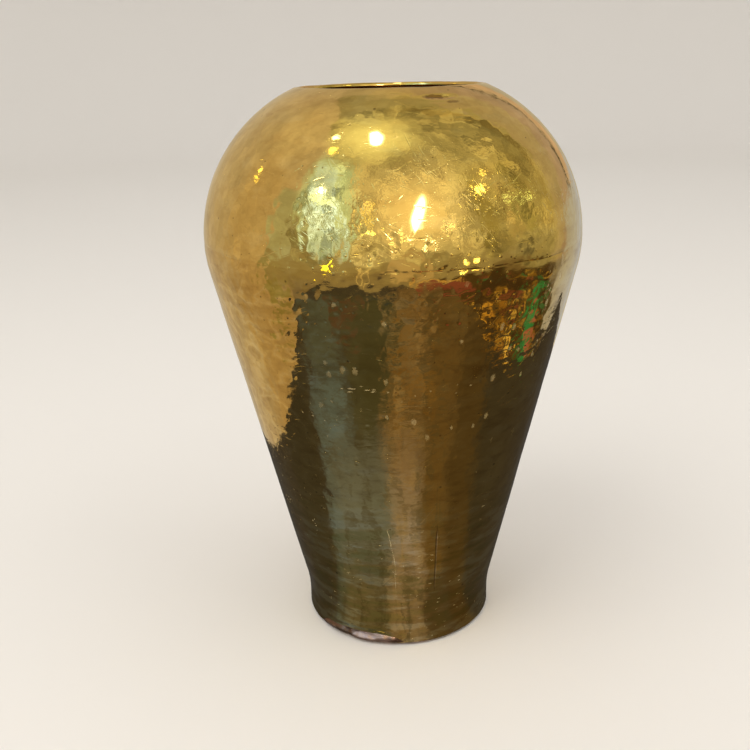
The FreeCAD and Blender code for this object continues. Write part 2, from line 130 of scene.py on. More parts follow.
def lengths(path):
    """Distance along a path from its start to each of its points."""
    return np.concatenate([[0], np.cumsum(np.hypot(*np.diff(path, axis=0).T))])


def resampled(path, spacing):
    """The same path with evenly spaced points."""
    length = lengths(path)
    count = max(2, int(round(length[-1] / spacing)) + 1)
    even = np.linspace(0, length[-1], count)
    return np.column_stack([np.interp(even, length, path[:, 0]), np.interp(even, length, path[:, 1])])


def taper_angle():
    """Half angle of the straight taper, which touches both turning arcs."""
    across = FOOT_R + FLARE_R - (BELLY_R - BELLY_TURN)
    up = RING_Z - FOOT_RISE
    return math.asin((FLARE_R + BELLY_TURN) / math.hypot(up, across)) - math.atan2(across, up)


def wall_path():
    """The wall's outer face from its lower edge to the widest ring."""
    angle = taper_angle()
    flare = arc_line((FOOT_R + FLARE_R, FOOT_RISE), FLARE_R, math.pi, math.pi - angle, 60)
    belly = arc_line((BELLY_R - BELLY_TURN, RING_Z), BELLY_TURN, -angle, 0, 60)
    foot = straight((FOOT_R, LIFT), (FOOT_R, FOOT_RISE), 20)
    return joined(foot, flare, straight(flare[-1], belly[0], 200), belly)


def dome_arc():
    """Centre, radius and the angle where the curl begins."""
    across = MOUTH_R + CURL_R - BELLY_R
    up = HEIGHT - CURL_R - RING_Z
    radius = (CURL_R**2 - across**2 - up**2) / (2 * (across + CURL_R))
    lean = math.atan2(up, MOUTH_R + CURL_R - (BELLY_R - radius))
    return (BELLY_R - radius, RING_Z), radius, lean


def dome_path():
    """The dome's outer face from just above the widest ring to the curl."""
    centre, radius, lean = dome_arc()
    return arc_line(centre, radius, math.asin(RING_STEP / radius), lean, 200)


def turn_from(where, azimuth):
    """The signed angle from one azimuth to others, in radians."""
    return (azimuth - where + math.pi) % TURN - math.pi


def window(azimuth, first, last, soft):
    """1 between two azimuths in degrees, with soft ends, measured anticlockwise from +X."""
    half = math.radians((last - first) / 2)
    offset = np.abs(turn_from(math.radians((first + last) / 2), azimuth))
    return 1 / (1 + np.exp((offset - half) / math.radians(soft)))


def waves(azimuth, *terms):
    """A sum of sines round the pot, each by its size, number of waves and phase."""
    return sum(size * np.sin(count * azimuth + phase) for size, count, phase in terms)


def hump(span, power=2):
    """1 where the span is 0, falling off on both sides."""
    return np.exp(-(span**power))


# ---------------------------------------------------------------- the hammered skin


class Relief:
    """Height of the hammered skin over the smooth one, from azimuth and distance along the section."""

    ROW = 6.8 * MM
    MARK = 7.6 * MM
    SMALL_DENTS = [  # how many, half widths in mm, depths in mm
        (520, (0.9, 1.9), (0.025, 0.07)),
        (120, (2.2, 4.2), (0.05, 0.12)),
        (26, (6.0, 13.0), (0.10, 0.22)),
    ]
    LARGE_DENTS = [  # azimuth in degrees, height, half width, half height and depth in mm
        (-96.2, 0.350, 7.2, 7.2, 0.60),  # round dent on the front of the dome
        (-66.0, 0.4435, 10.0, 2.4, 0.85),  # long dent under the lip
        (-104.5, 0.2495, 4.5, 1.4, 0.16),  # cluster of short level creases on the wall
        (-101.0, 0.2470, 5.0, 1.2, -0.14),
        (-97.5, 0.2490, 4.0, 1.5, 0.18),
        (-94.0, 0.2480, 3.5, 1.3, -0.15),
        (-148.0, 0.310, 6.0, 5.0, -0.30),  # scaly patch on the left of the wall
        (-143.0, 0.296, 6.0, 4.0, 0.38),
        (-137.0, 0.304, 6.0, 2.6, 0.34),
        (-136.0, 0.286, 5.5, 3.0, 0.34),
        (-131.0, 0.299, 5.0, 3.0, -0.26),
        (-132.0, 0.275, 7.0, 2.2, 0.32),
        (-127.0, 0.286, 4.0, 3.2, 0.34),
        (-141.0, 0.268, 7.0, 3.0, 0.24),
        (-97.3, 0.318, 1.6, 9.0, -0.18),
        (-72.0, 0.300, 9.0, 7.0, 0.30),
        (-60.0, 0.412, 12.0, 9.0, 0.25),
        (-82.0, 0.425, 14.0, 6.0, 0.22),
    ]

    def __init__(self, path):
        self.length = lengths(path)
        self.radius, self.height = path.T
        rows = int(self.length[-1] / self.ROW) + 3
        around = TURN * self.radius_at(np.arange(rows) * self.ROW)
        self.counts = np.maximum(8, np.round(around / self.MARK).astype(int))
        widest = self.counts.max()
        self.shift = rng.uniform(0, 1, rows)
        self.jitter = rng.uniform(-0.42, 0.42, (rows, widest, 2))
        self.depth = rng.uniform(0, 1, (rows, widest))
        self.tilt = rng.normal(0, 1, (rows, widest, 2))
        self.sways = [self.draw_sway() for _ in range(36)]
        self.dents = self.scatter_dents()
        for where, z, wide, high, depth in self.LARGE_DENTS:
            self.dents.append((math.radians(where), self.along(z), wide * MM, high * MM, depth * MM))

    def draw_sway(self):
        """One broad wave of the sheet: turns round the pot, rate along the section, phase and share."""
        turns = int(rng.integers(0, 15))
        return turns, TURN / rng.uniform(0.045, 0.32), rng.uniform(0, TURN), rng.uniform(0.5, 1.0)

    def scatter_dents(self):
        """Small random dents: azimuth, place along the section, half width, half height, depth."""
        dents = []
        for count, span, depth in self.SMALL_DENTS:
            for _ in range(count):
                place = rng.uniform(0.02, 0.98) * self.length[-1]
                if rng.uniform() < 0.45:
                    place = rng.normal(self.length[-1] * 0.66, 0.035)
                wide = rng.uniform(*span) * MM
                where = rng.uniform(0, TURN)
                dents.append((where, place, wide, wide * rng.uniform(0.6, 1.3), rng.uniform(*depth) * MM))
        return dents

    def along(self, z_outer):
        return np.interp(z_outer, self.height, self.length)

    def radius_at(self, along):
        return np.interp(along, self.length, self.radius)

    def marks(self, azimuth, along):
        """Overlapping flats left by the planishing hammer, in courses round the pot."""
        best = np.full(azimuth.shape, np.inf)
        second = np.full(azimuth.shape, np.inf)
        row_here = np.floor(along / self.ROW).astype(int)
        radius = self.radius_at(along)
        for row_step in (-1, 0, 1, 2):
            row = np.clip(row_here + row_step, 0, len(self.counts) - 1)
            count = self.counts[row]
            position = azimuth / TURN * count + self.shift[row]
            cell_here = np.floor(position).astype(int)
            for cell_step in (-1, 0, 1):
                cell = (cell_here + cell_step) % count
                jitter = self.jitter[row, cell]
                across = (cell_here + cell_step + 0.5 + jitter[..., 0] - position) / count * TURN * radius
                up = (row + jitter[..., 1]) * self.ROW - along
                tilt = self.tilt[row, cell] * HAMMER_TILT
                height = (across**2 + up**2) / (2 * HAMMER_FACE) - self.depth[row, cell] * 0.035 * MM
                height = height + across * tilt[..., 0] + up * tilt[..., 1]
                second = np.minimum(second, np.maximum(best, height))
                best = np.minimum(best, height)
        return best - hump((second - best) / (0.012 * MM)) * 0.004 * MM

    def courses(self, azimuth, along):
        """Faint level ridges where one course of blows overlaps the next."""
        drift = waves(azimuth, (0.8, 3, 1.0), (0.5, 7, 0))
        return 0.010 * MM * np.sin(along / self.ROW * TURN + drift)

    def sway(self, azimuth, along):
        """Broad unevenness of the raised sheet."""
        total = np.zeros(azimuth.shape)
        for turns, rate, phase, share in self.sways:
            size = share / (1 + 0.14 * turns**1.3 + 0.012 * rate)
            total += size * np.cos(turns * azimuth + rate * along + phase)
        return total * 0.11 * MM

    def dented(self, azimuth, along):
        total = np.zeros(azimuth.shape)
        radius = self.radius_at(along)
        for where, place, wide, high, depth in self.dents:
            row = np.abs(along[:, 0] - place) < 3 * high
            if row.any():
                offset = turn_from(where, azimuth[row])
                span = np.hypot(offset * radius[row] / wide, (along[row] - place) / high)
                total[row] -= depth * (hump(span) - 0.25 * np.exp(-((span - 1.6) ** 2) / 0.3))
        return total

    def calm(self, azimuth, along):
        """1 over most of the skin and small where it is smoother."""
        share = np.ones(azimuth.shape)
        radius = self.radius_at(along)
        for where, z, reach, depth in CALM:
            offset = turn_from(math.radians(where), azimuth)
            share *= 1 - depth * hump(np.hypot(offset * radius, along - self.along(z)) / (reach * MM), 4)
        return share

    def ripples(self, azimuth, along):
        """Level waves near the foot, where the sheet was drawn in."""
        drift = waves(azimuth, (1.4, 2, 0.7), (1.0, 5, 2), (0.6, 13, 0))
        patchy = 0.6 + 0.4 * np.sin(7 * azimuth + along / (11 * MM))
        size = 0.15 * MM * patchy * hump((along - 0.045) / 0.05)
        return size * np.sin(along / (13.5 * MM) * TURN + drift)

    def strength(self, azimuth, along):
        """How strongly the marks show: most round the belly, least on the upper left of the dome."""
        share = along / self.length[-1]
        belly = hump((share - 0.68) / 0.17)
        foot = hump((share - 0.08) / 0.16)
        left = hump(turn_from(math.radians(205), azimuth) / 0.9)
        front = window(azimuth, -128, -36, 9) * hump((share - 0.74) / 0.11, 4)
        return 0.5 + 0.5 * belly + 0.3 * foot + 0.8 * front - 0.25 * left * (share > 0.72)

    def __call__(self, azimuth, z):
        along = self.along(z)
        strength = self.strength(azimuth, along)
        blows = self.marks(azimuth, along) * strength + self.courses(azimuth, along)
        height = (blows + self.dented(azimuth, along)) * self.calm(azimuth, along)
        height = height + self.sway(azimuth, along) + self.ripples(azimuth, along)
        return np.clip(height, -0.85 * MM, 0.12 * MM) + OUTER_SKIN


skin = Relief(joined(wall_path(), dome_path()))


def ring_wave(azimuth):
    """Rise and fall of the girth joint round the pot."""
    return 1.3 * MM * waves(azimuth, (0.5, 2, 0.4), (0.4, 5, 2.0), (0.25, 11, 0), (0.15, 19, 1))


def joint_depth(azimuth):
    """How open the girth joint looks, from filed flush to a clear groove."""
    return np.clip(0.30 + waves(azimuth, (0.35, 3, 4.4), (0.4, 8, 1.0), (0.3, 21, 2)), 0.03, 1.1)


def lower_edge(azimuth):
    """Height of the wall's lower edge over its level stretch: it is trimmed short at the front left."""
    trimmed = 8.8 * window(azimuth, -144, -91, 1.9)
    ripple = waves(azimuth, (0.8, 9, 0.6), (0.5, 17, 1.1)) * window(azimuth, -144, -91, 3)
    uneven = waves(azimuth, (0.35, 4, 0), (0.2, 13, 2))
    return MM * (trimmed + ripple + uneven * 0.6 + 0.35)


# ---------------------------------------------------------------- meshes


def new_object(name, vertices, faces, smooth=True):
    mesh = bpy.data.meshes.new(name)
    mesh.from_pydata([tuple(v) for v in vertices], [], faces)
    mesh.update()
    if smooth:
        mesh.shade_smooth()
        mesh.set_sharp_from_angle(angle=SHARP)
    piece = bpy.data.objects.new(name, mesh)
    bpy.context.scene.collection.objects.link(piece)
    return piece


def columns(first=0.0, last=TURN, open_ends=False):
    """Azimuths between two angles, closer together at the front; at open ends a few are packed close."""
    marks = np.linspace(first, last, 4001)
    front = window(marks, -155, -25, 6)
    density = COLUMN_BACK**-1 + (1 / COLUMN_FRONT - 1 / COLUMN_BACK) * front[1:]
    share = np.concatenate([[0], np.cumsum(density)])
    count = int(share[-1] * (last - first) / 4000)
    inner = np.interp(np.linspace(0, share[-1], count + 1), share, marks)
    if not open_ends:
        return inner[:-1]
    close = np.array([0, 0.0012, 0.0026, 0.0045, 0.007])
    keep = inner[(inner > first + 0.009) & (inner < last - 0.009)]
    return np.concatenate([first + close, keep, last - close[::-1]])


def normals(path):
    """Outward unit normals of a path that runs upwards on the outside."""
    run = np.gradient(path, axis=0)
    run /= np.hypot(*run.T)[:, None]
    return np.column_stack([run[:, 1], -run[:, 0]])


def revolved(path, azimuth):
    """A path of (r, z) repeated for every azimuth."""
    return np.repeat(path[:, None, :], azimuth.size, axis=1)


def turned(grid, azimuth):
    """The points in space of a grid of (r, z)."""
    x = grid[..., 0] * np.cos(azimuth)
    y = grid[..., 0] * np.sin(azimuth)
    return np.stack([x, y, grid[..., 1]], axis=-1).reshape(-1, 3)


def grid_faces(shape, row_count, column_count):
    """Quads between neighbours in a grid of points; past its last row or column they join the first."""
    rows, count = shape
    row = np.arange(row_count)[:, None]
    column = np.arange(column_count)[None, :]
    next_row = (row + 1) % rows
    next_column = (column + 1) % count
    starts = [(row, column), (row, next_column), (next_row, next_column), (next_row, column)]
    return np.stack([r * count + c for r, c in starts], axis=-1).reshape(-1, 4).tolist()


def loop_shell(name, azimuth, outer, inner, closed=True):
    """A sheet between an outer and an inner grid of (r, z), joined at both edges; an open one has a seam."""
    grid = np.concatenate([outer, inner[::-1]])
    rows, count = grid.shape[:2]
    if closed:
        return new_object(name, turned(grid, azimuth), grid_faces((rows, count), rows, count))
    faces = grid_faces((rows, count), rows, count - 1) + end_caps(len(outer), len(inner), count)
    return new_object(name, turned(grid, azimuth + seam_lean(grid[..., 1])), faces)


def end_caps(outer_rows, inner_rows, count):
    """Faces that close the two ends of a sheet that doesn't go all the way round."""
    caps = []
    total = outer_rows + inner_rows
    for column, step in ((0, -1), (count - 1, 1)):
        for j in range(inner_rows - 1):
            low = round(j * (outer_rows - 1) / (inner_rows - 1))
            high = round((j + 1) * (outer_rows - 1) / (inner_rows - 1))
            outer_run = [i * count + column for i in range(low, high + 1)]
            inner_run = [(total - 1 - k) * count + column for k in (j + 1, j)]
            caps.append((outer_run + inner_run)[::step])
    return caps


def lifted(path, azimuth, bottom=None, top=None, reach=0.03):
    """The path for every azimuth as grids of r and z, its ends moved up or down by functions of azimuth."""
    r, z = np.moveaxis(revolved(path, azimuth), -1, 0)
    if bottom is not None:
        z = z + bottom(azimuth)[None, :] * np.clip(1 - (z - path[0, 1]) / reach, 0, 1)
    if top is not None:
        z = z + top(azimuth)[None, :] * np.clip(1 - (path[-1, 1] - z) / reach, 0, 1)
    return r, z


def raised(path, r, z, height):
    """A grid of (r, z) moved outwards by a height."""
    across = normals(path)
    return np.stack([r + height * across[:, :1], z + height * across[:, 1:]], axis=-1)


def skinned(path, azimuth, extra, *ends):
    """Outer grid of a piece that carries the hammered skin, lowered by a function of (azimuth, z)."""
    r, z = lifted(path, azimuth, *ends)
    here = np.broadcast_to(azimuth, z.shape)
    return raised(path, r, z, skin(here, z) - extra(here, z))


def inner_grid(path, azimuth, depth, *ends):
    """Smooth inner grid under the outer path, at a depth that is a function of (azimuth, z)."""
    r, z = lifted(path, azimuth, *ends)
    return raised(path, r, z, -depth(np.broadcast_to(azimuth, z.shape), z))


def slope(z, start, reach):
    """Rises from 0 to 1 from a height, over a reach that may be downwards."""
    return np.clip((z - start) / reach, 0, 1)


def seam_groove(azimuth, z):
    """Depth of the fine groove along the side joint, deepest in the lower half of the wall."""
    near = turn_from(SEAM_AZIMUTH - SEAM_STEP / 2, azimuth)
    low = slope(z, 0.055, 0.008) * slope(z, 0.121, -0.01)
    faint = slope(z, 0.03, 0.02) * slope(z, 0.18, -0.03)
    return (0.01 + 0.03 * faint + 0.30 * low) * MM * hump(near / 0.006)


def seam_lean(z):
    """The side joint isn't quite upright: its turn about the axis at each height."""
    return -math.radians(30) * (np.clip(z, 0.055, 0.165) - 0.105) * slope(z, 0.30, -0.10)


def wall_inset(azimuth, z):
    """Depth of the wall's inner face, with the lap of the side joint standing in."""
    from_seam = (azimuth - SEAM_AZIMUTH) % TURN
    lapped = (from_seam < SEAM_LAP) * (z > 0.04) * (z < 0.312)
    return GAUGE + lapped * (GAUGE + FILM)


def edge_roll(azimuth, z):
    """The wall's skin dips at the side joint, rolls over on top and turns out at its trimmed edge."""
    from_top = RING_Z + ring_wave(azimuth) - z
    from_foot = z - LIFT - lower_edge(azimuth)
    turned_out = 1.0 * MM * window(azimuth, -146, -92, 2.5) * hump(from_foot / (2.4 * MM))
    top = JOINT_DIP * joint_depth(azimuth) * hump(from_top / (1.3 * MM))
    return seam_groove(azimuth, z) + top - turned_out


def wall_strip(name, azimuth, inset):
    """A length of the wall, from its lower edge to the girth joint."""
    outer = skinned(resampled(wall_path(), OUTER_ROW), azimuth, edge_roll, lower_edge, ring_wave)
    inner = inner_grid(resampled(wall_path(), INNER_ROW), azimuth, inset, lower_edge, ring_wave)
    return loop_shell(name, azimuth, outer, inner, closed=False)


def make_wall():
    azimuth = columns(SEAM_AZIMUTH, SEAM_AZIMUTH + TURN - SEAM_STEP, open_ends=True)
    return wall_strip("hammered_wall", azimuth, wall_inset)


def make_side_seam():
    azimuth = np.linspace(SEAM_AZIMUTH - SEAM_STEP, SEAM_AZIMUTH, 7)
    return wall_strip("side_seam", azimuth, lambda azimuth, z: np.full(z.shape, GAUGE))


def make_shoulder():
    """The dome, its curl round the mouth's wire and the skirt inside the wall."""
    centre, radius, lean = dome_arc()
    azimuth = columns()
    dome = resampled(dome_path(), 1.3 * MM)

    def bottom_roll(at, z):
        from_edge = z - RING_Z - RING_STEP - ring_wave(at)
        return JOINT_DIP * joint_depth(at) * hump(from_edge / (1.5 * MM))

    outer = skinned(dome, azimuth, bottom_roll, ring_wave, None, 0.02)
    mouth = (MOUTH_R + CURL_R, HEIGHT - CURL_R)
    curl = arc_line(mouth, CURL_R, lean, lean + CURL_SWEEP, 22)[1:]
    across = (curl - np.array(mouth)) / CURL_R
    fade = np.linspace(1, 0.25, len(curl))[:, None]
    height = skin(*np.broadcast_arrays(azimuth, np.full((len(curl), 1), dome[-1, 1]))) * fade
    curled = curl[:, None, :] + height[..., None] * across[:, None, :]

    turn = (BELLY_R - BELLY_TURN, RING_Z)
    skirt_r = BELLY_TURN - GAUGE - FILM
    drop = math.asin((RING_Z - SKIRT_Z) / skirt_r)
    inside = radius - GAUGE
    dome_foot = (centre[0] + math.sqrt(inside**2 - RING_STEP**2), centre[1] + RING_STEP)
    inner_path = joined(
        arc_line(turn, skirt_r - GAUGE, -drop, 0, 6),
        straight((BELLY_R - 2 * GAUGE - FILM, RING_Z), dome_foot, 3),
        arc_line(centre, inside, math.asin(RING_STEP / inside), lean, 28),
        arc_line(mouth, CURL_R - GAUGE, lean, lean + CURL_SWEEP, 18),
    )
    skirt_path = joined(
        arc_line(turn, skirt_r, -drop, 0, 6),
        straight((BELLY_R - GAUGE - FILM, RING_Z), (BELLY_R - GAUGE - FILM, RING_Z + 1 * MM), 2),
    )
    outer = np.concatenate([revolved(skirt_path, azimuth), outer, curled])
    return loop_shell("hammered_shoulder", azimuth, outer, revolved(inner_path, azimuth))


def make_girth_seam():
    """The filed braze between the wall's top edge and the dome, a little below both."""
    azimuth = columns()
    path = straight((BELLY_R, RING_Z), (BELLY_R, RING_Z + RING_STEP), 6)
    r = revolved(path, azimuth)[..., 0]
    z = path[:, 1:] + ring_wave(azimuth)[None, :]
    uneven = 0.02 * MM * waves(azimuth, (1, 37, 0), (1, 61, 1), (1, 113, 2))
    profile = np.array([0.13, 0.17, 0.20, 0.20, 0.17, 0.13])[:, None] * MM * joint_depth(azimuth)[None, :]
    height = skin(np.broadcast_to(azimuth, z.shape), z) - profile
    height = height + uneven[None, :] * np.sin(np.linspace(0, math.pi, 6))[:, None]
    inner = np.stack([np.full_like(r, BELLY_R - GAUGE), z], axis=-1)[::5]
    return loop_shell("girth_seam", azimuth, np.stack([r + height, z], axis=-1), inner)


def pan_paths():
    """The base pan's outer and inner sections, from its middle to its flange's upper edge."""
    corner = 3.5 * MM
    corner_centre = (PAN_R - corner, corner)
    stand_r, panel_r, rise = 58 * MM, 50 * MM, 6 * MM
    fillet, drop = 1.5 * MM, 0.35 * MM
    panel = [(2 * MM, rise), (panel_r - fillet, rise), (panel_r, rise - drop)]
    panel += [(stand_r, drop), (stand_r + fillet, 0), (PAN_R - corner, 0)]
    outer = joined(
        bent_line(panel, (14, 2, 6, 2, 8)),
        arc_line(corner_centre, corner, -math.pi / 2, 0, 8),
        straight((PAN_R, corner), (PAN_R, FLANGE_Z), 18),
    )
    upper = [(2 * MM, rise + GAUGE), (panel_r, rise + GAUGE), (stand_r, GAUGE), (PAN_R - corner, GAUGE)]
    inner = joined(
        bent_line(upper, (5, 3, 3)),
        arc_line(corner_centre, corner - GAUGE, -math.pi / 2, 0, 5),
        straight((PAN_R - GAUGE, corner), (PAN_R - GAUGE, FLANGE_Z), 4),
    )
    return outer, inner, corner


def make_pan():
    """The base pan, its corner and flange slightly beaten, with a lumpy lip where the wall is short."""
    azimuth = columns()
    outer_path, inner_path, corner = pan_paths()
    r, z = lifted(outer_path, azimuth)
    beaten = waves(azimuth, (0.16, 23, 0.5), (0.14, 41, 2), (0.1, 67, 1))
    side = np.clip((r - (PAN_R - corner)) / corner, 0, 1) * np.clip((FLANGE_Z - z) / (3 * MM), 0, 1)
    lumps = waves(azimuth, (0.5, 19, 1), (0.35, 31, 2.2), (0.3, 53, 0))
    crest = (5.2 + 0.9 * np.sin(11 * azimuth + 1))[None, :] * MM
    lip = window(azimuth, -146, -90, 2.0)[None, :] * (2.7 + 0.55 * lumps[None, :]) * MM
    lip = lip * hump((z - crest) / (3.6 * MM)) * side
    waver = 1 + 0.5 * np.sin(z / MM * 1.1 + 3 * azimuth[None, :])
    r = r + lip - side * (0.3 + beaten[None, :]) * MM * waver
    outer = np.stack([r, z], axis=-1)
    return close_middle(loop_shell("beaten_pan", azimuth, outer, revolved(inner_path, azimuth)))


def close_middle(piece):
    """Fills the pan's small middle hole by drawing its ring of points together."""
    mesh = bmesh.new()
    mesh.from_mesh(piece.data)
    near = [v for v in mesh.verts if math.hypot(v.co.x, v.co.y) < 2.1 * MM]
    for vertex in near:
        vertex.co.x = vertex.co.y = 0
    bmesh.ops.remove_doubles(mesh, verts=near, dist=0.01 * MM)
    mesh.to_mesh(piece.data)
    mesh.free()
    return piece


# ---------------------------------------------------------------- node trees


def colour(red, green, blue):
    return (red, green, blue, 1.0)


class Value:
    """An output in a node tree. Arithmetic on it adds nodes, and | takes the larger of two values."""

    def __init__(self, graph, socket):
        self.graph = graph
        self.socket = socket

    def __add__(self, other):
        return self.graph.math("ADD", self, other)

    def __sub__(self, other):
        return self.graph.math("SUBTRACT", self, other)

    def __rsub__(self, other):
        return self.graph.math("SUBTRACT", other, self)

    def __mul__(self, other):
        return self.graph.math("MULTIPLY", self, other)

    def __truediv__(self, other):
        return self.graph.math("DIVIDE", self, other)

    def __or__(self, other):
        return self.graph.math("MAXIMUM", self, other)

    def __abs__(self):
        return self.graph.math("ABSOLUTE", self)

    def beside(self, name):
        """Another output of the same node."""
        return Value(self.graph, self.socket.node.outputs[name])

    def ramp(self, low, high, first=0.0, last=1.0):
        """The first number below low, the last above high and a smooth change between."""
        inputs = {"Value": self, "From Min": low, "From Max": high, "To Min": first, "To Max": last}
        return self.graph.put("ShaderNodeMapRange", inputs, interpolation_type="SMOOTHSTEP")

    def within(self, middle, half, soft):
        """1 up to half away from the middle and 0 further off."""
        return abs(self - middle).ramp(half - soft, half + soft, 1.0, 0.0)


class Graph:
    """Short calls for building a node tree that paints a surface."""

    def __init__(self, tree, paint):
        self.tree = tree
        self.paint = colour(*paint)
        self.place = self.put("ShaderNodeTexCoord", {}, "Object")

    def put(self, kind, inputs, output=0, **settings):
        """Adds a node with values or numbers at its inputs, by name or place, and returns an output."""
        node = self.tree.nodes.new(kind)
        for name, setting in settings.items():
            setattr(node, name, setting)
        for name, source in inputs.items():
            if isinstance(source, Value):
                self.tree.links.new(source.socket, node.inputs[name])
            else:
                node.inputs[name].default_value = source
        return Value(self, node.outputs[output])

    def math(self, operation, *values, clamp=False):
        return self.put("ShaderNodeMath", dict(enumerate(values)), operation=operation, use_clamp=clamp)

    def vector(self, operation, *values, output=0):
        return self.put("ShaderNodeVectorMath", dict(enumerate(values)), output, operation=operation)

    def distance(self, place, point):
        return self.vector("DISTANCE", place, point, output="Value")

    def split(self, place):
        x = self.put("ShaderNodeSeparateXYZ", {0: place}, "X")
        return x, x.beside("Y"), x.beside("Z")

    def grid(self, across, along, third=0.0):
        return self.put("ShaderNodeCombineXYZ", {0: across, 1: along, 2: third})

    def noise(self, scale, place=None, detail=4, rough=0.55, warp=0.0, output="Fac"):
        inputs = {"Vector": place or self.place, "Scale": scale, "Detail": detail, "Roughness": rough}
        return self.put("ShaderNodeTexNoise", {**inputs, "Distortion": warp}, output)

    def cells(self, scale, place, flat, **settings):
        """Voronoi cells: two random numbers for each cell, and the distance to its point."""
        inputs = {"Vector": place, "Scale": scale}
        settings["voronoi_dimensions"] = "2D" if flat else "3D"
        drawn = self.put("ShaderNodeTexVoronoi", inputs, "Color", **settings)
        red = self.put("ShaderNodeSeparateColor", {0: drawn}, "Red")
        return red, red.beside("Green"), drawn.beside("Distance")

    def mixed(self, share, tint):
        inputs = {"Factor": share, 6: self.paint, 7: tint}
        return self.put("ShaderNodeMix", inputs, 2, data_type="RGBA")

    def cover(self, share, tint):
        """Covers a share of the paint with a colour."""
        self.paint = self.mixed(share, colour(*tint))


# ---------------------------------------------------------------- materials


class Metal(Graph):
    """A metal of the pot, marked in places on its skin."""

    def __init__(self, name, paint):
        self.material = bpy.data.materials.new(name)
        self.material.use_nodes = True
        super().__init__(self.material.node_tree, paint)
        self.x, self.y, self.up = self.split(self.place)
        self.normal = None

    def stretch(self, level, upright):
        """The position scaled by one factor on the level and by another upright."""
        inputs = {"Vector": self.place, "Scale": (1 / level, 1 / level, 1 / upright)}
        return self.put("ShaderNodeMapping", inputs, vector_type="TEXTURE")

    def bent(self, place, scale, amount):
        """The place shifted by noise, so that the spots drawn with it lose their round shape."""
        shift = self.noise(scale, detail=2, rough=0.5, output="Color")
        return self.vector("MULTIPLY_ADD", shift, (amount, amount, 0.0), place)

    def spots(self, scale, keep, inner, outer, place=None, flat=False):
        """Scattered discs: 1 inside, 0 outside, a slope between; keep is the share of cells with one."""
        first, second, distance = self.cells(scale, place or self.place, flat)
        size = self.math("MULTIPLY_ADD", second, 0.7, 0.65)
        return self.math("LESS_THAN", first, keep) * (distance / size).ramp(inner, outer, 1.0, 0.0)

    def around(self, scale):
        """The azimuth, scaled from radians."""
        return self.math("ARCTAN2", self.y, self.x) * scale

    def unrolled(self, long, high, slant=0.0):
        """The place on the unrolled skin, in cells of a length and height in metres, turned by slant."""
        around = self.around(UNROLL_R)
        c, s = math.cos(slant), math.sin(slant)
        along = around * (c / long) + self.up * (s / long)
        return self.grid(along, around * (-s / high) + self.up * (c / high))

    def flecks(self, keep, inner, outer, long, high, bend=None):
        """Spots on the unrolled skin, in cells of a length and height in mm, bent by (scale, amount)."""
        place = self.unrolled(long * MM, high * MM)
        return self.spots(1.0, keep, inner, outer, self.bent(place, *bend) if bend else place, flat=True)

    def needles(self, slant, long, thin, keep):
        """Short bent scratches, long and thin in mm from cell to cell, at a slant to the level."""
        cells = self.bent(self.unrolled(long * MM, thin * MM, math.radians(slant)), 26, 9.0)
        return self.spots(1.0, keep, 0.0, 0.27, cells, flat=True)

    def apart(self, azimuth, z, radius, low, high):
        """0 near a point of the skin and 1 away from it, by distances in mm."""
        a = math.radians(azimuth)
        point = (radius * math.cos(a), radius * math.sin(a), z)
        return self.distance(self.place, point).ramp(low * MM, high * MM)

    def line(self, azimuth, lean, turning_z, half_width):
        """1 on a thin line down the skin: an azimuth in degrees at a height, leaning by degrees a metre."""
        gap = self.around(DEGREES) - ((self.up - turning_z) * lean + azimuth)
        wobble = (self.noise(160, detail=3) - 0.5) * 0.9
        return abs(gap + wobble).ramp(half_width * 0.35, half_width, 1.0, 0.0)

    def mark(self, azimuth, z, wide, high):
        """1 inside a ragged oval on the unrolled skin, by half width and half height in mm."""
        point = (UNROLL_R * math.radians(azimuth) / (wide * MM), z / (high * MM), 0)
        ragged = (self.noise(170, detail=3) - 0.5) * 1.6
        distance = self.distance(self.unrolled(wide * MM, high * MM), point)
        return (distance + ragged).ramp(0.6, 1.0, 1.0, 0.0)

    def facing(self, azimuth, low, high):
        """1 on the side of the pot that faces an azimuth in degrees, by the share of the belly's radius."""
        a = math.radians(azimuth)
        along = self.x * (math.cos(a) / BELLY_R) + self.y * (math.sin(a) / BELLY_R)
        return along.ramp(low, high)

    def between(self, low, high, soft):
        """1 between two heights."""
        return self.up.ramp(low - soft, low + soft) * self.up.ramp(high - soft, high + soft, 1.0, 0.0)

    def bump(self, height, distance):
        """Adds relief on top of what is there; distance is the height in mm that 1 stands for."""
        inputs = {"Strength": 1.0, "Distance": abs(distance) * MM, "Height": height}
        if self.normal is not None:
            inputs["Normal"] = self.normal
        self.normal = self.put("ShaderNodeBump", inputs, invert=distance < 0)

    def uneven(self, scale, distance, detail, rough, where):
        """Relief of plain noise in some places."""
        self.bump((self.noise(scale, detail=detail, rough=rough) - 0.5) * where, distance)


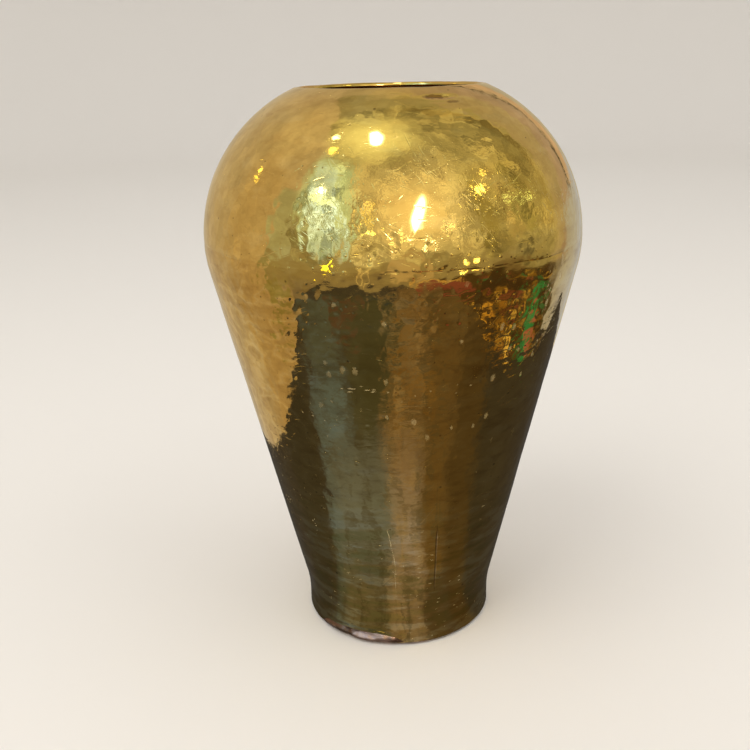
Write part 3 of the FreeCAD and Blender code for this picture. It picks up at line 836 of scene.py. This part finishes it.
class Brass(Metal):
    """Hammered and polished metal, with painted glints, highlights and shade in places. lower is 1 on the
    wall, whose foot is banded and has pale dry polish and painted glints.
    """

    def __init__(self, name, base, golden, brown, roughness, foot_brown=0.0, streaks=0.3, stains=0.62,
                 lower=0.0, edge_shade_and_dirt=0.0):
        super().__init__(name, base)
        self.brown = brown
        self.lower = lower
        self.calm = self.apart(-94.4, 0.420, 0.1163, 7, 15) * self.apart(-83.6, 0.375, 0.1429, 12, 22)
        self.scuffed = self.facing(-70, 0.58, 0.86) * self.between(0.352, 0.418, 0.010)
        self.groups = self.noise(17, detail=2).ramp(0.47, 0.60)
        self.shade(golden, streaks, stains, foot_brown)
        self.band_foot()
        self.scratch()
        self.dry_polish_and_glints()
        self.soil_and_painted_light(edge_shade_and_dirt)
        self.finish(roughness)
        self.roughen()
        self.tree.links.new(self.normal.socket, self.shader.inputs["Normal"])

    def shade(self, golden, streaks, stains, foot_brown):
        """Changes of shade, level streaks, blotches, stains and a browner foot."""
        self.cover(self.noise(14, detail=5).ramp(0.35, 0.68), golden)
        self.level = self.noise(60, self.stretch(0.75, 2.3), rough=0.6)
        self.patchy = self.noise(24, detail=3).ramp(0.38, 0.55)
        self.cover(self.level.ramp(0.48, 0.70) * self.patchy * streaks, self.brown)
        blotch = self.noise(75, self.stretch(0.9, 1.3), detail=3, rough=0.6)
        self.cover(blotch.ramp(0.35, 0.62, 0.20, 0.0), self.brown)
        pale = self.noise(52, self.stretch(0.7, 1.6), detail=3)
        self.cover(pale.ramp(0.52, 0.68, 0.0, 0.35), (0.88, 0.68, 0.32))
        self.stain = self.noise(26, self.stretch(0.8, 1.7), 7, 0.62, 0.6).ramp(stains, stains + 0.12)
        self.cover(self.stain * 0.5, self.brown)
        self.ragged = self.up + self.noise(38, self.stretch(0.6, 2.0), detail=5) * 0.09
        self.cover(self.ragged.ramp(0.04, 0.17, foot_brown, 0.0), self.brown)

    def band_foot(self):
        """Bright and dark level bands on the wall's foot."""
        self.bands = self.noise(30, self.stretch(0.8, 2.9), rough=0.6)
        self.foot = self.up.ramp(0.09, 0.17, 1.0, 0.0) * self.lower
        self.cover(self.bands.ramp(0.50, 0.60) * self.foot * 0.55, (0.96, 0.82, 0.46))
        self.cover(self.bands.ramp(0.40, 0.49, 1.0, 0.0) * self.foot * 0.5, (0.44, 0.36, 0.09))

    def scratch(self):
        """Dark pits all over, and bright scratches and sparks on the scuffed part of the dome, their bright
        colour a painted glint.
        """
        self.pits = self.spots(150, 0.22, 0.05, 0.13)
        grime = self.spots(95, 0.25, 0.03, 0.12)
        self.cover((self.pits | grime) * 0.65, (0.16, 0.085, 0.025))
        cuts = self.needles(-38, 24, 1.4, 0.22) | self.needles(-58, 18, 1.5, 0.20)
        cuts = cuts | self.needles(24, 11, 1.2, 0.09) | self.flecks(0.34, 0.03, 0.13, 5.8, 4.8) * self.groups
        self.dome_cuts_and_glints = cuts * (self.scuffed + 0.008) * self.patchy * self.calm
        self.cuts = self.needles(4, 22, 2.4, 0.14) | self.needles(34, 28, 2.8, 0.08)
        # Painted glints: the dome's scratches and sparks get a brighter colour than the metal.
        self.cover(self.dome_cuts_and_glints * 0.45, (1.0, 0.90, 0.48))

    def dry_polish_and_glints(self):
        """Pale dry polish in ovals, chips and strokes, and the same pale colour as painted glints on flecks
        and dash marks and as a painted highlight along a cracked line of the wall.
        """
        self.ovals = self.flecks(0.17, 0.07, 0.19, 10, 14, (240, 0.30)) * self.facing(-62, 0.35, 0.75)
        self.ovals = self.ovals * self.between(0.200, 0.325, 0.012)
        chips = self.flecks(0.55, 0.10, 0.24, 3.2, 3.6, (300, 0.5))
        chips = chips * (self.mark(-131, 0.113, 5, 8) | self.mark(-149, 0.124, 7, 6))
        strokes = self.flecks(0.70, 0.12, 0.34, 6.0, 1.7, (200, 1.2)) * self.mark(-101, 0.248, 14, 3.4)
        # Painted glints: bright flecks and dash marks in the pale colour.
        flecks = self.flecks(0.16, 0.02, 0.11, 10, 8) * self.groups
        glint_dashes = self.flecks(0.20, 0.04, 0.16, 14, 4.5) * self.groups * self.between(0.02, 0.16, 0.02)
        # Painted highlight along a cracked line of the wall.
        crack_highlight = self.line(-92.7, -90.0, 0.1015, 0.30) * self.between(0.087, 0.121, 0.003)
        crack_highlight = crack_highlight | self.line(-91.5, 0.0, 0.0, 0.28) * self.between(0.050, 0.088, 0.004) * 0.6
        crack_highlight = crack_highlight * self.noise(120, detail=2).ramp(0.40, 0.58, 0.15, 1.0)
        polish_and_glints = self.ovals * 0.24 | (flecks | glint_dashes) * 0.30 | (chips | strokes * 0.8) * 0.55
        self.polish_and_glints = (polish_and_glints | crack_highlight * 0.42) * self.lower
        self.cover(self.polish_and_glints, (0.90, 0.78, 0.46))

    def soil_and_painted_light(self, edge_shade_and_dirt):
        """Dirt along the side joint; dirt and painted shade at the foot, under the wall's lower edge; a dark
        brown streak under the lip; brown tarnish near the lip; and painted highlights and shade on a web of
        creases on the left.
        """
        seam = self.line(SEAM_DIRT, -30.0, 0.105, 0.46) * self.between(0.056, 0.121, 0.006)
        self.cover(seam * 0.60, (0.15, 0.085, 0.03))
        # Painted highlights and shade: pale lines along a web of creases, with browner cells between them.
        painted_crease_light = abs(self.noise(46, self.stretch(0.8, 1.2), 2, 0.5, 0.4) - 0.5)
        left_wall = self.facing(-156, 0.56, 0.80) * self.between(0.15, 0.33, 0.02) * self.lower * 0.26
        self.cover(painted_crease_light.ramp(0.0, 0.045, 1.0, 0.0) * left_wall, (0.90, 0.72, 0.40))
        self.cover(painted_crease_light.ramp(0.040, 0.100) * left_wall, self.brown)
        # Dirt and painted shade on the pan just under the wall's lower edge.
        self.cover(self.ragged.ramp(0.046, 0.053) * edge_shade_and_dirt, (0.13, 0.07, 0.045))
        # A dark brown streak along the long dent under the lip.
        under_lip = self.mark(-69, 0.4435, 15, 1.5) | self.mark(-62, 0.4400, 9, 1.1) * 0.7
        self.cover(under_lip * 0.85, (0.26, 0.13, 0.04))
        tarnish = self.mark(-112, 0.4425, 14, 2.2) | self.mark(-55, 0.4385, 18, 3.0) * 0.6
        self.cover(tarnish * 0.35, (0.50, 0.32, 0.10))

    def finish(self, roughness):
        """Joins the paint to the shader, duller where it is scratched or stained, and on the pale polish and
        painted glints.
        """
        self.shader = self.tree.nodes["Principled BSDF"]
        smear = self.noise(22, detail=5).ramp(0.3, 0.75, roughness, roughness + 0.05)
        dull = smear + (self.cuts | self.dome_cuts_and_glints) * 0.16 + self.polish_and_glints * 0.45
        dull = self.math("ADD", dull, self.stain * 0.10, clamp=True)
        sources = {"Base Color": self.paint, "Metallic": 1.0 - self.polish_and_glints, "Roughness": dull}
        for name, source in sources.items():
            self.tree.links.new(source.socket, self.shader.inputs[name])

    def roughen(self):
        """Fine relief, strongest on the front of the belly."""
        front = self.facing(-85, 0.45, 0.85)
        belly = front * self.between(0.285, 0.362, 0.028) + front * self.between(0.36, 0.41, 0.02) * 0.16
        zone = (belly + 0.08) * self.calm
        wall_front = self.facing(-80, 0.20, 0.55) * self.between(0.06, 0.30, 0.02) * self.lower
        self.bump((self.level - 0.5) * self.calm, 0.10)
        self.uneven(190, 0.04, 1, 0.4, self.calm)
        self.uneven(88, 0.52, 1, 0.4, zone)
        self.uneven(125, 0.17, 2, 0.5, wall_front)
        self.bump(self.spots(96, 0.30, 0.05, 0.32) * wall_front, -0.12)
        self.bump(self.spots(112, 0.45, 0.02, 0.30) * zone, -0.16)
        self.bump(self.spots(185, 0.55, 0.06, 0.28) * zone, 0.11)
        self.bump((self.bands - 0.5) * self.foot, 0.42)
        self.uneven(115, 0.16, 2, 0.5, self.foot)
        self.bump(self.dome_cuts_and_glints, -0.09)
        self.uneven(210, 0.17, 3, 0.6, self.scuffed * self.calm)
        self.bump(self.cuts | self.pits, -0.05)
        self.bump(self.ovals * self.calm, -0.08)


# ---------------------------------------------------------------- pieces

BROWN = (0.40, 0.235, 0.07)
METALS = {  # base, golden, brown, roughness, browner foot, streaks, stains, lower, edge dirt and painted shade
    "shoulder_brass": ((0.75, 0.53, 0.19), (0.84, 0.61, 0.23), (0.52, 0.31, 0.09), 0.040),
    "wall_brass": ((0.73, 0.50, 0.175), (0.82, 0.58, 0.21), BROWN, 0.050, 0.40, 0.42, 0.58, 1.0),
    "pan_copper": ((0.58, 0.37, 0.33), (0.66, 0.46, 0.41), (0.38, 0.19, 0.15), 0.36, 0, 0.5, 0.55, 0, 0.8),
    "wire_brass": ((0.72, 0.50, 0.17), (0.80, 0.57, 0.20), BROWN, 0.10),
    "spelter": ((0.73, 0.50, 0.175), (0.81, 0.57, 0.20), BROWN, 0.055, 0.40, 0.35, 0.58, 1.0),
}
metals = {name: Brass(name, *values).material for name, values in METALS.items()}

PIECES = [
    (make_wall(), "taper_wall", "wall_brass", "wall_brass"),
    (make_shoulder(), "shoulder_shell", "shoulder_brass", "shoulder_brass"),
    (make_girth_seam(), "girth_braze", "spelter", "spelter"),
    (make_side_seam(), "side_braze", "spelter", "spelter"),
    (make_pan(), "base_pan", "base_brass", "pan_copper"),
]
for piece, node, slot, metal in PIECES:
    piece.data.materials.append(metals[metal])
    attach(piece, "root")
    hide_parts(node)

for node, metal in (("rim_wire", "wire_brass"), ("base_braze", "spelter")):
    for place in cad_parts[node].material_slots:
        place.material = metals[metal]


# ---------------------------------------------------------------- studio


def emitter(name, painted):
    """A material that glows with what a function of its node tree paints."""
    material = bpy.data.materials.new(name)
    material.use_nodes = True
    tree = material.node_tree
    tree.nodes.clear()
    emission = tree.nodes.new("ShaderNodeEmission")
    output = tree.nodes.new("ShaderNodeOutputMaterial")
    tree.links.new(emission.outputs[0], output.inputs["Surface"])
    tree.links.new(painted(tree).socket, emission.inputs["Color"])
    material.cycles.emission_sampling = "NONE"
    return material


def mirror_only(piece):
    """Only reflections see it, as the pot sees the room that it stands in."""
    for ray in ("camera", "diffuse", "shadow", "transmission", "volume_scatter"):
        setattr(piece, "visible_" + ray, False)


class Sky(Graph):
    """Paints by direction from the pot, in degrees: azimuth from the front towards +X, and elevation.

    On a flat card, the distance from the pot in metres takes the elevation's place, and edges are ragged.
    """

    def __init__(self, tree, paint, flat=False):
        super().__init__(tree, paint)
        self.direction = self.vector("NORMALIZE", self.place)
        x, y, z = self.split(self.place if flat else self.direction)
        self.azimuth = self.math("ARCTAN2", x, y * -1.0) * DEGREES
        if flat:
            ragged = self.noise(13, detail=5, rough=0.75) - 0.5
            self.azimuth = self.azimuth + ragged * 25
            self.second = self.math("SQRT", x * x + y * y) + ragged * -0.11
        else:
            self.second = self.math("ARCSINE", z) * DEGREES

    def dot(self, towards):
        return self.vector("DOT_PRODUCT", self.direction, towards, output="Value")

    def side(self, plane, soft):
        """1 on the side of a plane through the pot that its normal points to."""
        return self.dot(plane).ramp(-soft, soft)

    def boxes(self, wide, high):
        """Boxy cells, wide by high in degrees, with a random number in each."""
        place = self.grid(self.azimuth * (1 / wide), self.second * (1 / high))
        return self.cells(1.0, place, True, distance="CHEBYCHEV")[0]

    def scaled(self, factor):
        return self.put("ShaderNodeVectorMath", {0: self.paint, "Scale": factor}, operation="SCALE")

    def mottle(self, wide, high, floor, low, bright, share):
        """Boxy patches that scale the paint between low and bright above a floor."""
        factor = self.boxes(wide, high) * (bright - low) + low
        self.paint = self.mixed(share * self.second.ramp(floor - 3, floor + 3), self.scaled(factor))

    def clouds(self, scale, low, high):
        """Soft unevenness of every wall: scales the paint by smooth noise."""
        noise = self.noise(scale, self.direction, detail=2, rough=0.5)
        self.paint = self.scaled((noise - 0.5) * (2 * (high - low)) + (low + high) / 2)

    def goods(self, wide, high, azimuths, elevations):
        """Crowded shelves: boxy cells in the colours of SHELF, within (middle, half) ranges in degrees."""
        shelf = self.put("ShaderNodeValToRGB", {"Fac": self.boxes(wide, high)})
        ramp = shelf.socket.node.color_ramp
        ramp.interpolation = "CONSTANT"
        while len(ramp.elements) < len(SHELF):
            ramp.elements.new(1.0)
        for element, (share, tint) in zip(ramp.elements, SHELF):
            element.position = share
            element.color = colour(*tint)
        where = self.azimuth.within(*azimuths, 3) * self.second.within(*elevations, 2)
        self.paint = self.mixed(where, shelf)

    def blots(self, wide, far, where, tint, shift):
        """Ragged blots, wide in degrees by far in metres."""
        place = self.grid(self.azimuth * (1 / wide), self.second * (1 / far), shift)
        self.cover(self.noise(1.0, place, rough=0.6).ramp(0.50, 0.59) * where * 0.60, tint)

    def patch(self, azimuth, second, half_azimuth, half_second, soft, tint, soft_second=None, lean=0.0):
        """A soft-edged rectangle, which may lean by degrees for each unit of the second measure."""
        across = self.azimuth + self.second * lean if lean else self.azimuth
        share = across.within(azimuth, half_azimuth, soft)
        self.cover(share * self.second.within(second, half_second, soft_second or soft), tint)

    def spot(self, azimuth, elevation, radius, soft, tint):
        """A round patch, which may lie near the zenith."""
        a, e = math.radians(azimuth), math.radians(elevation)
        towards = (math.sin(a) * math.cos(e), -math.cos(a) * math.cos(e), math.sin(e))
        angle = self.math("ARCCOSINE", self.math("MINIMUM", self.dot(towards), 1.0)) * DEGREES
        self.cover(angle.ramp(radius - soft, radius + soft, 1.0, 0.0), tint)

    def capsule(self, azimuth, elevation, radius, half_height, lean, tint):
        """A long lamp that leans to one side by so many degrees of azimuth for each of elevation."""
        above = self.second - elevation
        aside = self.azimuth - azimuth - above * lean
        above = above * (radius / half_height)
        span = self.math("SQRT", aside * aside + above * above)
        self.cover(span.ramp(radius * 0.65, radius * 1.35, 1.0, 0.0), tint)


# Normals of planes through the pot that bound parts of the room.
CEILING = ((0.936, -0.118, 0.330), (-0.345, -0.809, 0.476))
LEFT_WALL = ((-0.896, 0.21, -0.39), (-0.485, 0.875, 0.0))
HALL = (0.285, -0.917, 0.281)
FAR_LINE = (-0.577, 0.586, -0.568)


def paint_room(tree):
    """Warm pale walls, an olive hall with a cool window and lamps ahead, and a dim shop at the right."""
    sky = Sky(tree, (0.50, 0.435, 0.29))
    paint_walls(sky)
    paint_window(sky)
    # furniture of the hall: boxy patches, lighter and darker
    open_hall = sky.side(HALL, 0.02) * (1.0 - left_side(sky))
    sky.mottle(8.0, 12.0, -6, 0.60, 1.38, open_hall)
    sky.mottle(3.6, 5.5, -6, 0.74, 1.28, open_hall)
    sky.clouds(7.0, 0.86, 1.16)
    sky.clouds(24.0, 0.90, 1.10)
    paint_floor_and_shop(sky)
    # lamps and their glow
    sky.spot(-38, 79, 14, 10, (1.20, 1.20, 0.66))
    for lamp in ((-50, 82.2, 1.6), (-38, 80.6, 2.3), (-31, 78.6, 2.4), (-27, 76.6, 2.2)):
        sky.spot(*lamp, 0.9, (14, 13, 12))
    sky.spot(14, 29, 15, 12, (1.32, 1.12, 0.64))
    sky.capsule(15.6, 28.0, 3.2, 10.5, 0.40, (14, 13, 11))
    for azimuth, elevation, radius, tint in GLINTS:
        sky.spot(azimuth, elevation, radius, 0.6, tint)
    return sky.paint


def left_side(sky):
    return sky.side(LEFT_WALL[0], 0.012) * sky.side(LEFT_WALL[1], 0.012)


def paint_walls(sky):
    """The left wall, the hall ahead and overhead, and the corner at the right."""
    sky.cover(left_side(sky), (0.56, 0.48, 0.34))
    sky.patch(-93, -5, 17, 50, 9, (0.59, 0.475, 0.29))
    sky.patch(-80, -38, 26, 24, 10, (0.53, 0.41, 0.235))
    sky.spot(-112, 58, 16, 11, (0.70, 0.60, 0.40))
    right = sky.side((1.0, 0.0, 0.0), 0.2)
    sky.cover(sky.side(CEILING[0], 0.012) * sky.side(CEILING[1], 0.012), (0.41, 0.38, 0.225))
    sky.cover(sky.side(HALL, 0.015) * (1.0 - left_side(sky)), (0.46, 0.43, 0.235))
    sky.spot(171, 55, 8, 5, (0.63, 0.55, 0.27))
    # behind: a warm band and a greyish one on either side of a dark line
    behind = sky.dot(FAR_LINE)
    for middle, half, tint in ((0.11, 0.08, (0.70, 0.46, 0.27)), (-0.12, 0.10, (0.46, 0.35, 0.30))):
        sky.cover(behind.within(middle, half, 0.03) * right * 0.65, tint)
    sky.cover(behind.within(0.0, 0.014, 0.014) * right, (0.10, 0.075, 0.05))
    # brighter ahead, olive and dim to the right, with a dark border
    sky.patch(8, 32, 40, 28, 14, (0.86, 0.78, 0.47))
    sky.patch(82, 22, 26, 26, 10, (0.53, 0.47, 0.215))
    stripes = ((58, 3.5, (0.40, 0.35, 0.13)), (74, 2.5, (0.60, 0.50, 0.24)), (88, 3.5, (0.34, 0.31, 0.12)))
    for azimuth, width, tint in stripes:
        sky.patch(azimuth, 18, width, 26, 2.5, tint)
    sky.patch(82, 20, 5.5, 6.5, 2.0, (0.30, 0.28, 0.12))
    sky.cover(sky.dot(HALL).within(0.075, 0.035, 0.03) * right * 0.8, (0.33, 0.27, 0.11))
    sky.patch(82, -4, 24, 8, 6, (0.33, 0.30, 0.16))
    # dim olive corner between the left wall and the window
    sky.patch(-68.5, 14, 7.5, 21, 1.5, (0.47, 0.49, 0.34))
    sky.patch(-71, -12, 10, 8, 1.5, (0.38, 0.36, 0.19))
    sky.patch(-77, -23, 9, 8, 1.5, (0.34, 0.30, 0.12))


def paint_window(sky):
    """A window whose bars lean with the height, and two upright posts beyond it."""
    panes = [
        (-31.5, 35, 18.5, 24, 6.0, (0.66, 0.88, 0.70)),
        (-35.5, 28, 10.5, 26, 3.0, (0.68, 0.96, 1.10)),
        (-38.5, 20, 0.8, 24, 0.8, (0.44, 0.60, 0.46)),
        (-30.5, 20, 0.9, 24, 0.8, (0.44, 0.58, 0.42)),
        (-41.5, 27.5, 1.2, 13.5, 1.6, (1.20, 1.80, 2.60)),
        (-35, 27.5, 1.8, 13.5, 1.6, (1.20, 1.80, 2.60)),
        (-26.6, 27.5, 1.1, 13.5, 1.6, (1.20, 1.80, 2.60)),
        (-35, 34.5, 9, 1.3, 0.8, (1.5, 2.1, 1.9)),
    ]
    for pane in panes:
        sky.patch(*pane, lean=0.33)
    sky.spot(-50, 40, 1.9, 0.8, (9, 9, 8))
    sky.patch(-21, 20, 1.5, 18, 1.0, (0.38, 0.36, 0.20))
    sky.patch(-14.5, 27, 1.1, 9, 0.8, (2.4, 2.1, 0.8))


def paint_floor_and_shop(sky):
    """The floor in front, falling dark, and shelves crowded with coloured goods at the right."""
    sky.patch(0, -9, 75, 8, 3, (0.38, 0.33, 0.18))
    sky.patch(8, -6, 9, 7, 3, (0.62, 0.50, 0.28))
    sky.patch(70, -10, 13, 5, 4, (0.22, 0.17, 0.085))
    sky.patch(0, -40, 66, 24, 9, (0.27, 0.22, 0.14))
    sky.patch(-17, -9, 0.7, 9, 0.5, (0.95, 0.80, 0.42))
    sky.patch(76, -28, 46, 17, 2, (0.09, 0.06, 0.022))
    sky.goods(6.0, 2.2, (84, 32), (-28, 14))
    for azimuth, elevation, wide, high, tint in GOODS:
        sky.patch(azimuth, elevation, wide, high, 0.8, tint)
    # pale corner at the far right
    sky.patch(115, -15, 6, 6, 3, (0.33, 0.31, 0.26))
    sky.patch(139, -12, 18, 18, 2, (0.52, 0.54, 0.56))


GOODS = [  # azimuth, elevation, half width and height in degrees, colour
    (24, -22, 10, 4.2, (0.28, 0.095, 0.07)),
    (40, -23, 8, 6, (0.26, 0.085, 0.06)),
    (27, -15.6, 15, 0.7, (0.90, 0.58, 0.17)),
    (104, -27, 3.2, 4.5, (0.05, 0.29, 0.11)),
    (97, -34, 4.5, 1.6, (0.05, 0.20, 0.08)),
    (109, -30, 2.0, 3.0, (0.45, 0.16, 0.11)),
    (79, -33, 3.5, 1.2, (0.36, 0.19, 0.035)),
    (87, -33.6, 1.5, 2.3, (1.05, 0.72, 0.18)),
    (66, -36, 4, 1.2, (0.75, 0.43, 0.07)),
    (52, -36.6, 3, 1.6, (0.80, 0.50, 0.11)),
    (84, -37.4, 4, 0.7, (0.95, 0.72, 0.35)),
    (92, -36.0, 2, 0.9, (0.40, 0.13, 0.08)),
]
SHELF = [  # from what random number each colour holds
    (0.00, (0.07, 0.045, 0.02)),
    (0.42, (0.24, 0.14, 0.03)),
    (0.56, (0.55, 0.36, 0.08)),
    (0.62, (0.12, 0.07, 0.025)),
    (0.76, (0.06, 0.17, 0.07)),
    (0.83, (0.26, 0.09, 0.06)),
    (0.89, (0.50, 0.44, 0.28)),
    (0.93, (0.08, 0.07, 0.04)),
]
YELLOW = (6.5, 5.6, 1.8)
WHITE = (7.0, 6.8, 5.0)
GREENISH = (2.6, 3.2, 1.4)
GLINTS = [  # azimuth, elevation, radius in degrees, colour
    (-13.5, 17, 2.0, YELLOW),
    (-37.5, -5, 1.7, (4.5, 4.4, 0.3)),
    (-67, 63, 1.7, (4.0, 3.4, 0.9)),
    (-84, 68, 1.4, WHITE),
    (21, 8, 1.2, WHITE),
    (40, -5, 1.3, YELLOW),
    (49, -4, 1.5, YELLOW),
    (60, 36, 2.6, YELLOW),
    (70, 43, 1.4, (3.5, 3.0, 1.0)),
    (5, 14, 1.6, (3.5, 3.1, 1.6)),
    (32, 18, 1.5, (4.0, 3.5, 1.7)),
    (76, 26, 0.9, GREENISH),
    (84, 24, 0.9, GREENISH),
    (92, 22, 0.9, GREENISH),
    (-104, 33, 1.2, (4.5, 3.8, 0.9)),
    (-103, 29, 0.9, (3.5, 3.0, 0.7)),
]


def paint_plinth(tree):
    """A dark sheen whose streaks run away from the pot: bluish at the front left, brown at the front."""
    sky = Sky(tree, (0.068, 0.064, 0.060), flat=True)
    for azimuth, distance, half, reach, soft, soft_far, tint, lean in STREAKS:
        sky.patch(azimuth, distance, half, reach, soft, tint, soft_far, lean)
    far_brown = sky.azimuth.within(10, 13, 6) * sky.second.within(0.42, 0.15, 0.06)
    sky.blots(11, 0.044, far_brown, (0.320, 0.180, 0.040), 0.0)
    sky.blots(8, 0.030, sky.azimuth.within(5, 14, 5), (0.360, 0.290, 0.200), 7.0)
    sky.blots(9, 0.036, sky.azimuth.within(-12, 50, 8), (0.090, 0.084, 0.056), 13.0)
    sky.patch(-12.5, 0.45, 8.5, 0.11, 3, (0.078, 0.080, 0.052), 0.04)
    return sky.paint


STREAKS = [  # azimuth, distance, half width, half length, softness across and along, colour, lean
    (88, 0.0, 40, 0.9, 10, 0.05, (0.060, 0.054, 0.044), 0),
    (49, 0.0, 12, 0.9, 6, 0.05, (0.095, 0.070, 0.036), 0),
    (24, 0.0, 12, 0.9, 6, 0.05, (0.155, 0.108, 0.050), -12),
    (28, 0.0, 15, 0.13, 6, 0.03, (0.108, 0.088, 0.066), 0),
    (-6, 0.0, 13, 0.9, 5, 0.05, (0.220, 0.156, 0.084), -28),
    (3, 0.0, 15, 0.27, 6, 0.07, (0.325, 0.285, 0.295), 0),
    (-20, 0.44, 10, 0.20, 4, 0.05, (0.088, 0.094, 0.072), 0),
    (-6, 0.485, 9.5, 0.095, 3, 0.04, (0.080, 0.084, 0.060), 0),
    (-43, 0.30, 11, 0.34, 4, 0.05, (0.104, 0.130, 0.138), 0),
    (-43, 0.30, 12, 0.12, 5, 0.06, (0.135, 0.200, 0.310), 0),
    (-27, 0.215, 23, 0.075, 8, 0.05, (0.165, 0.198, 0.250), 0),
    (-25, 0.09, 22, 0.05, 8, 0.03, (0.180, 0.174, 0.138), 0),
    (4, 0.08, 13, 0.05, 6, 0.03, (0.300, 0.250, 0.200), 0),
    (26, 0.05, 9, 0.05, 5, 0.03, (0.130, 0.104, 0.062), 0),
    (-75, 0.0, 15, 0.9, 4, 0.05, (0.062, 0.060, 0.052), 0),
    (-27, 0.540, 9, 0.055, 3, 0.02, (0.120, 0.080, 0.060), 0),
    (-9, 0.540, 6, 0.070, 2.5, 0.02, (0.046, 0.060, 0.070), 0),
    (9, 0.560, 6, 0.050, 3, 0.02, (0.210, 0.185, 0.160), 0),
]


def make_room():
    bpy.ops.mesh.primitive_uv_sphere_add(segments=64, ring_count=32, radius=6.0)
    room = bpy.context.object
    room.name = "room_shell"
    room.data.materials.append(emitter("room_light", paint_room))
    mirror_only(room)


def make_plinth():
    """The dark plinth top that the pot mirrors: its corners, in metres from the pot."""
    corners = [(-0.605, -0.70), (0.16, -0.97), (0.65, 0.52), (-0.06, 0.81)]
    vertices = [(x, y, -0.0005) for x, y in corners]
    plinth = new_object("plinth_mirror", vertices, [(0, 1, 2, 3)], smooth=False)
    plinth.data.materials.append(emitter("plinth_sheen", paint_plinth))
    mirror_only(plinth)


def make_floor():
    """A pale floor that turns up into a wall all round."""
    reach, bend = 4.0, 1.2
    path = joined(
        straight((0.0005, 0), (reach, 0), 12),
        arc_line((reach, bend), bend, -math.pi / 2, 0, 12),
        straight((reach + bend, bend), (reach + bend, 4.0), 4),
    )
    azimuth = np.linspace(0, TURN, 97)[:-1]
    grid = revolved(path, azimuth)
    faces = grid_faces(grid.shape[:2], len(path) - 1, azimuth.size)
    floor = new_object("pale_floor", turned(grid, azimuth), faces)
    material = bpy.data.materials.new("pale_floor")
    material.use_nodes = True
    shader = material.node_tree.nodes["Principled BSDF"]
    shader.inputs["Base Color"].default_value = colour(0.82, 0.80, 0.77)
    shader.inputs["Roughness"].default_value = 0.9
    shader.inputs["Specular IOR Level"].default_value = 0.1
    floor.data.materials.append(material)
    floor.visible_glossy = False


def make_lights():
    world = bpy.data.worlds.new("studio")
    bpy.context.scene.world = world
    world.use_nodes = True
    background = world.node_tree.nodes["Background"]
    background.inputs["Color"].default_value = colour(1.0, 0.97, 0.93)
    background.inputs["Strength"].default_value = 0.95
    world.cycles_visibility.glossy = False
    aim = Vector((0, 0, 0.2))
    for name, place, size, power in (
        ("key_softbox", Vector((-0.9, -0.9, 2.0)), 1.4, 16),
        ("fill_softbox", Vector((1.4, -0.6, 1.6)), 1.6, 7),
    ):
        light = bpy.data.lights.new(name, "AREA")
        light.size = size
        light.energy = power
        light.color = (1.0, 0.96, 0.90)
        lamp = bpy.data.objects.new(name, light)
        lamp.location = place
        lamp.rotation_euler = (aim - place).to_track_quat("-Z", "Y").to_euler()
        lamp.visible_glossy = False
        bpy.context.scene.collection.objects.link(lamp)


def make_camera():
    """A hand-held phone just above the mouth's height, looking down at the pot."""
    down, left, roll = math.radians(19.03), math.radians(1.30), math.radians(-1.44)
    forward = Vector((-math.sin(left) * math.cos(down), math.cos(left) * math.cos(down), -math.sin(down)))
    right = Vector((math.cos(left), math.sin(left), 0))
    up = right.cross(forward)
    turned_right = right * math.cos(roll) + up * math.sin(roll)
    turned_up = up * math.cos(roll) - right * math.sin(roll)
    lens = bpy.data.cameras.new("camera")
    lens.sensor_width = 36
    lens.lens = 44.2
    lens.clip_start = 0.01
    camera = bpy.data.objects.new("camera", lens)
    basis = Matrix((turned_right, turned_up, -forward)).transposed().to_4x4()
    camera.matrix_world = Matrix.Translation((0, -1.6463 * HEIGHT, 1.0443 * HEIGHT)) @ basis
    bpy.context.scene.collection.objects.link(camera)
    bpy.context.scene.camera = camera


make_room()
make_plinth()
make_floor()
make_lights()
make_camera()
bpy.context.scene.view_settings.view_transform = "Standard"
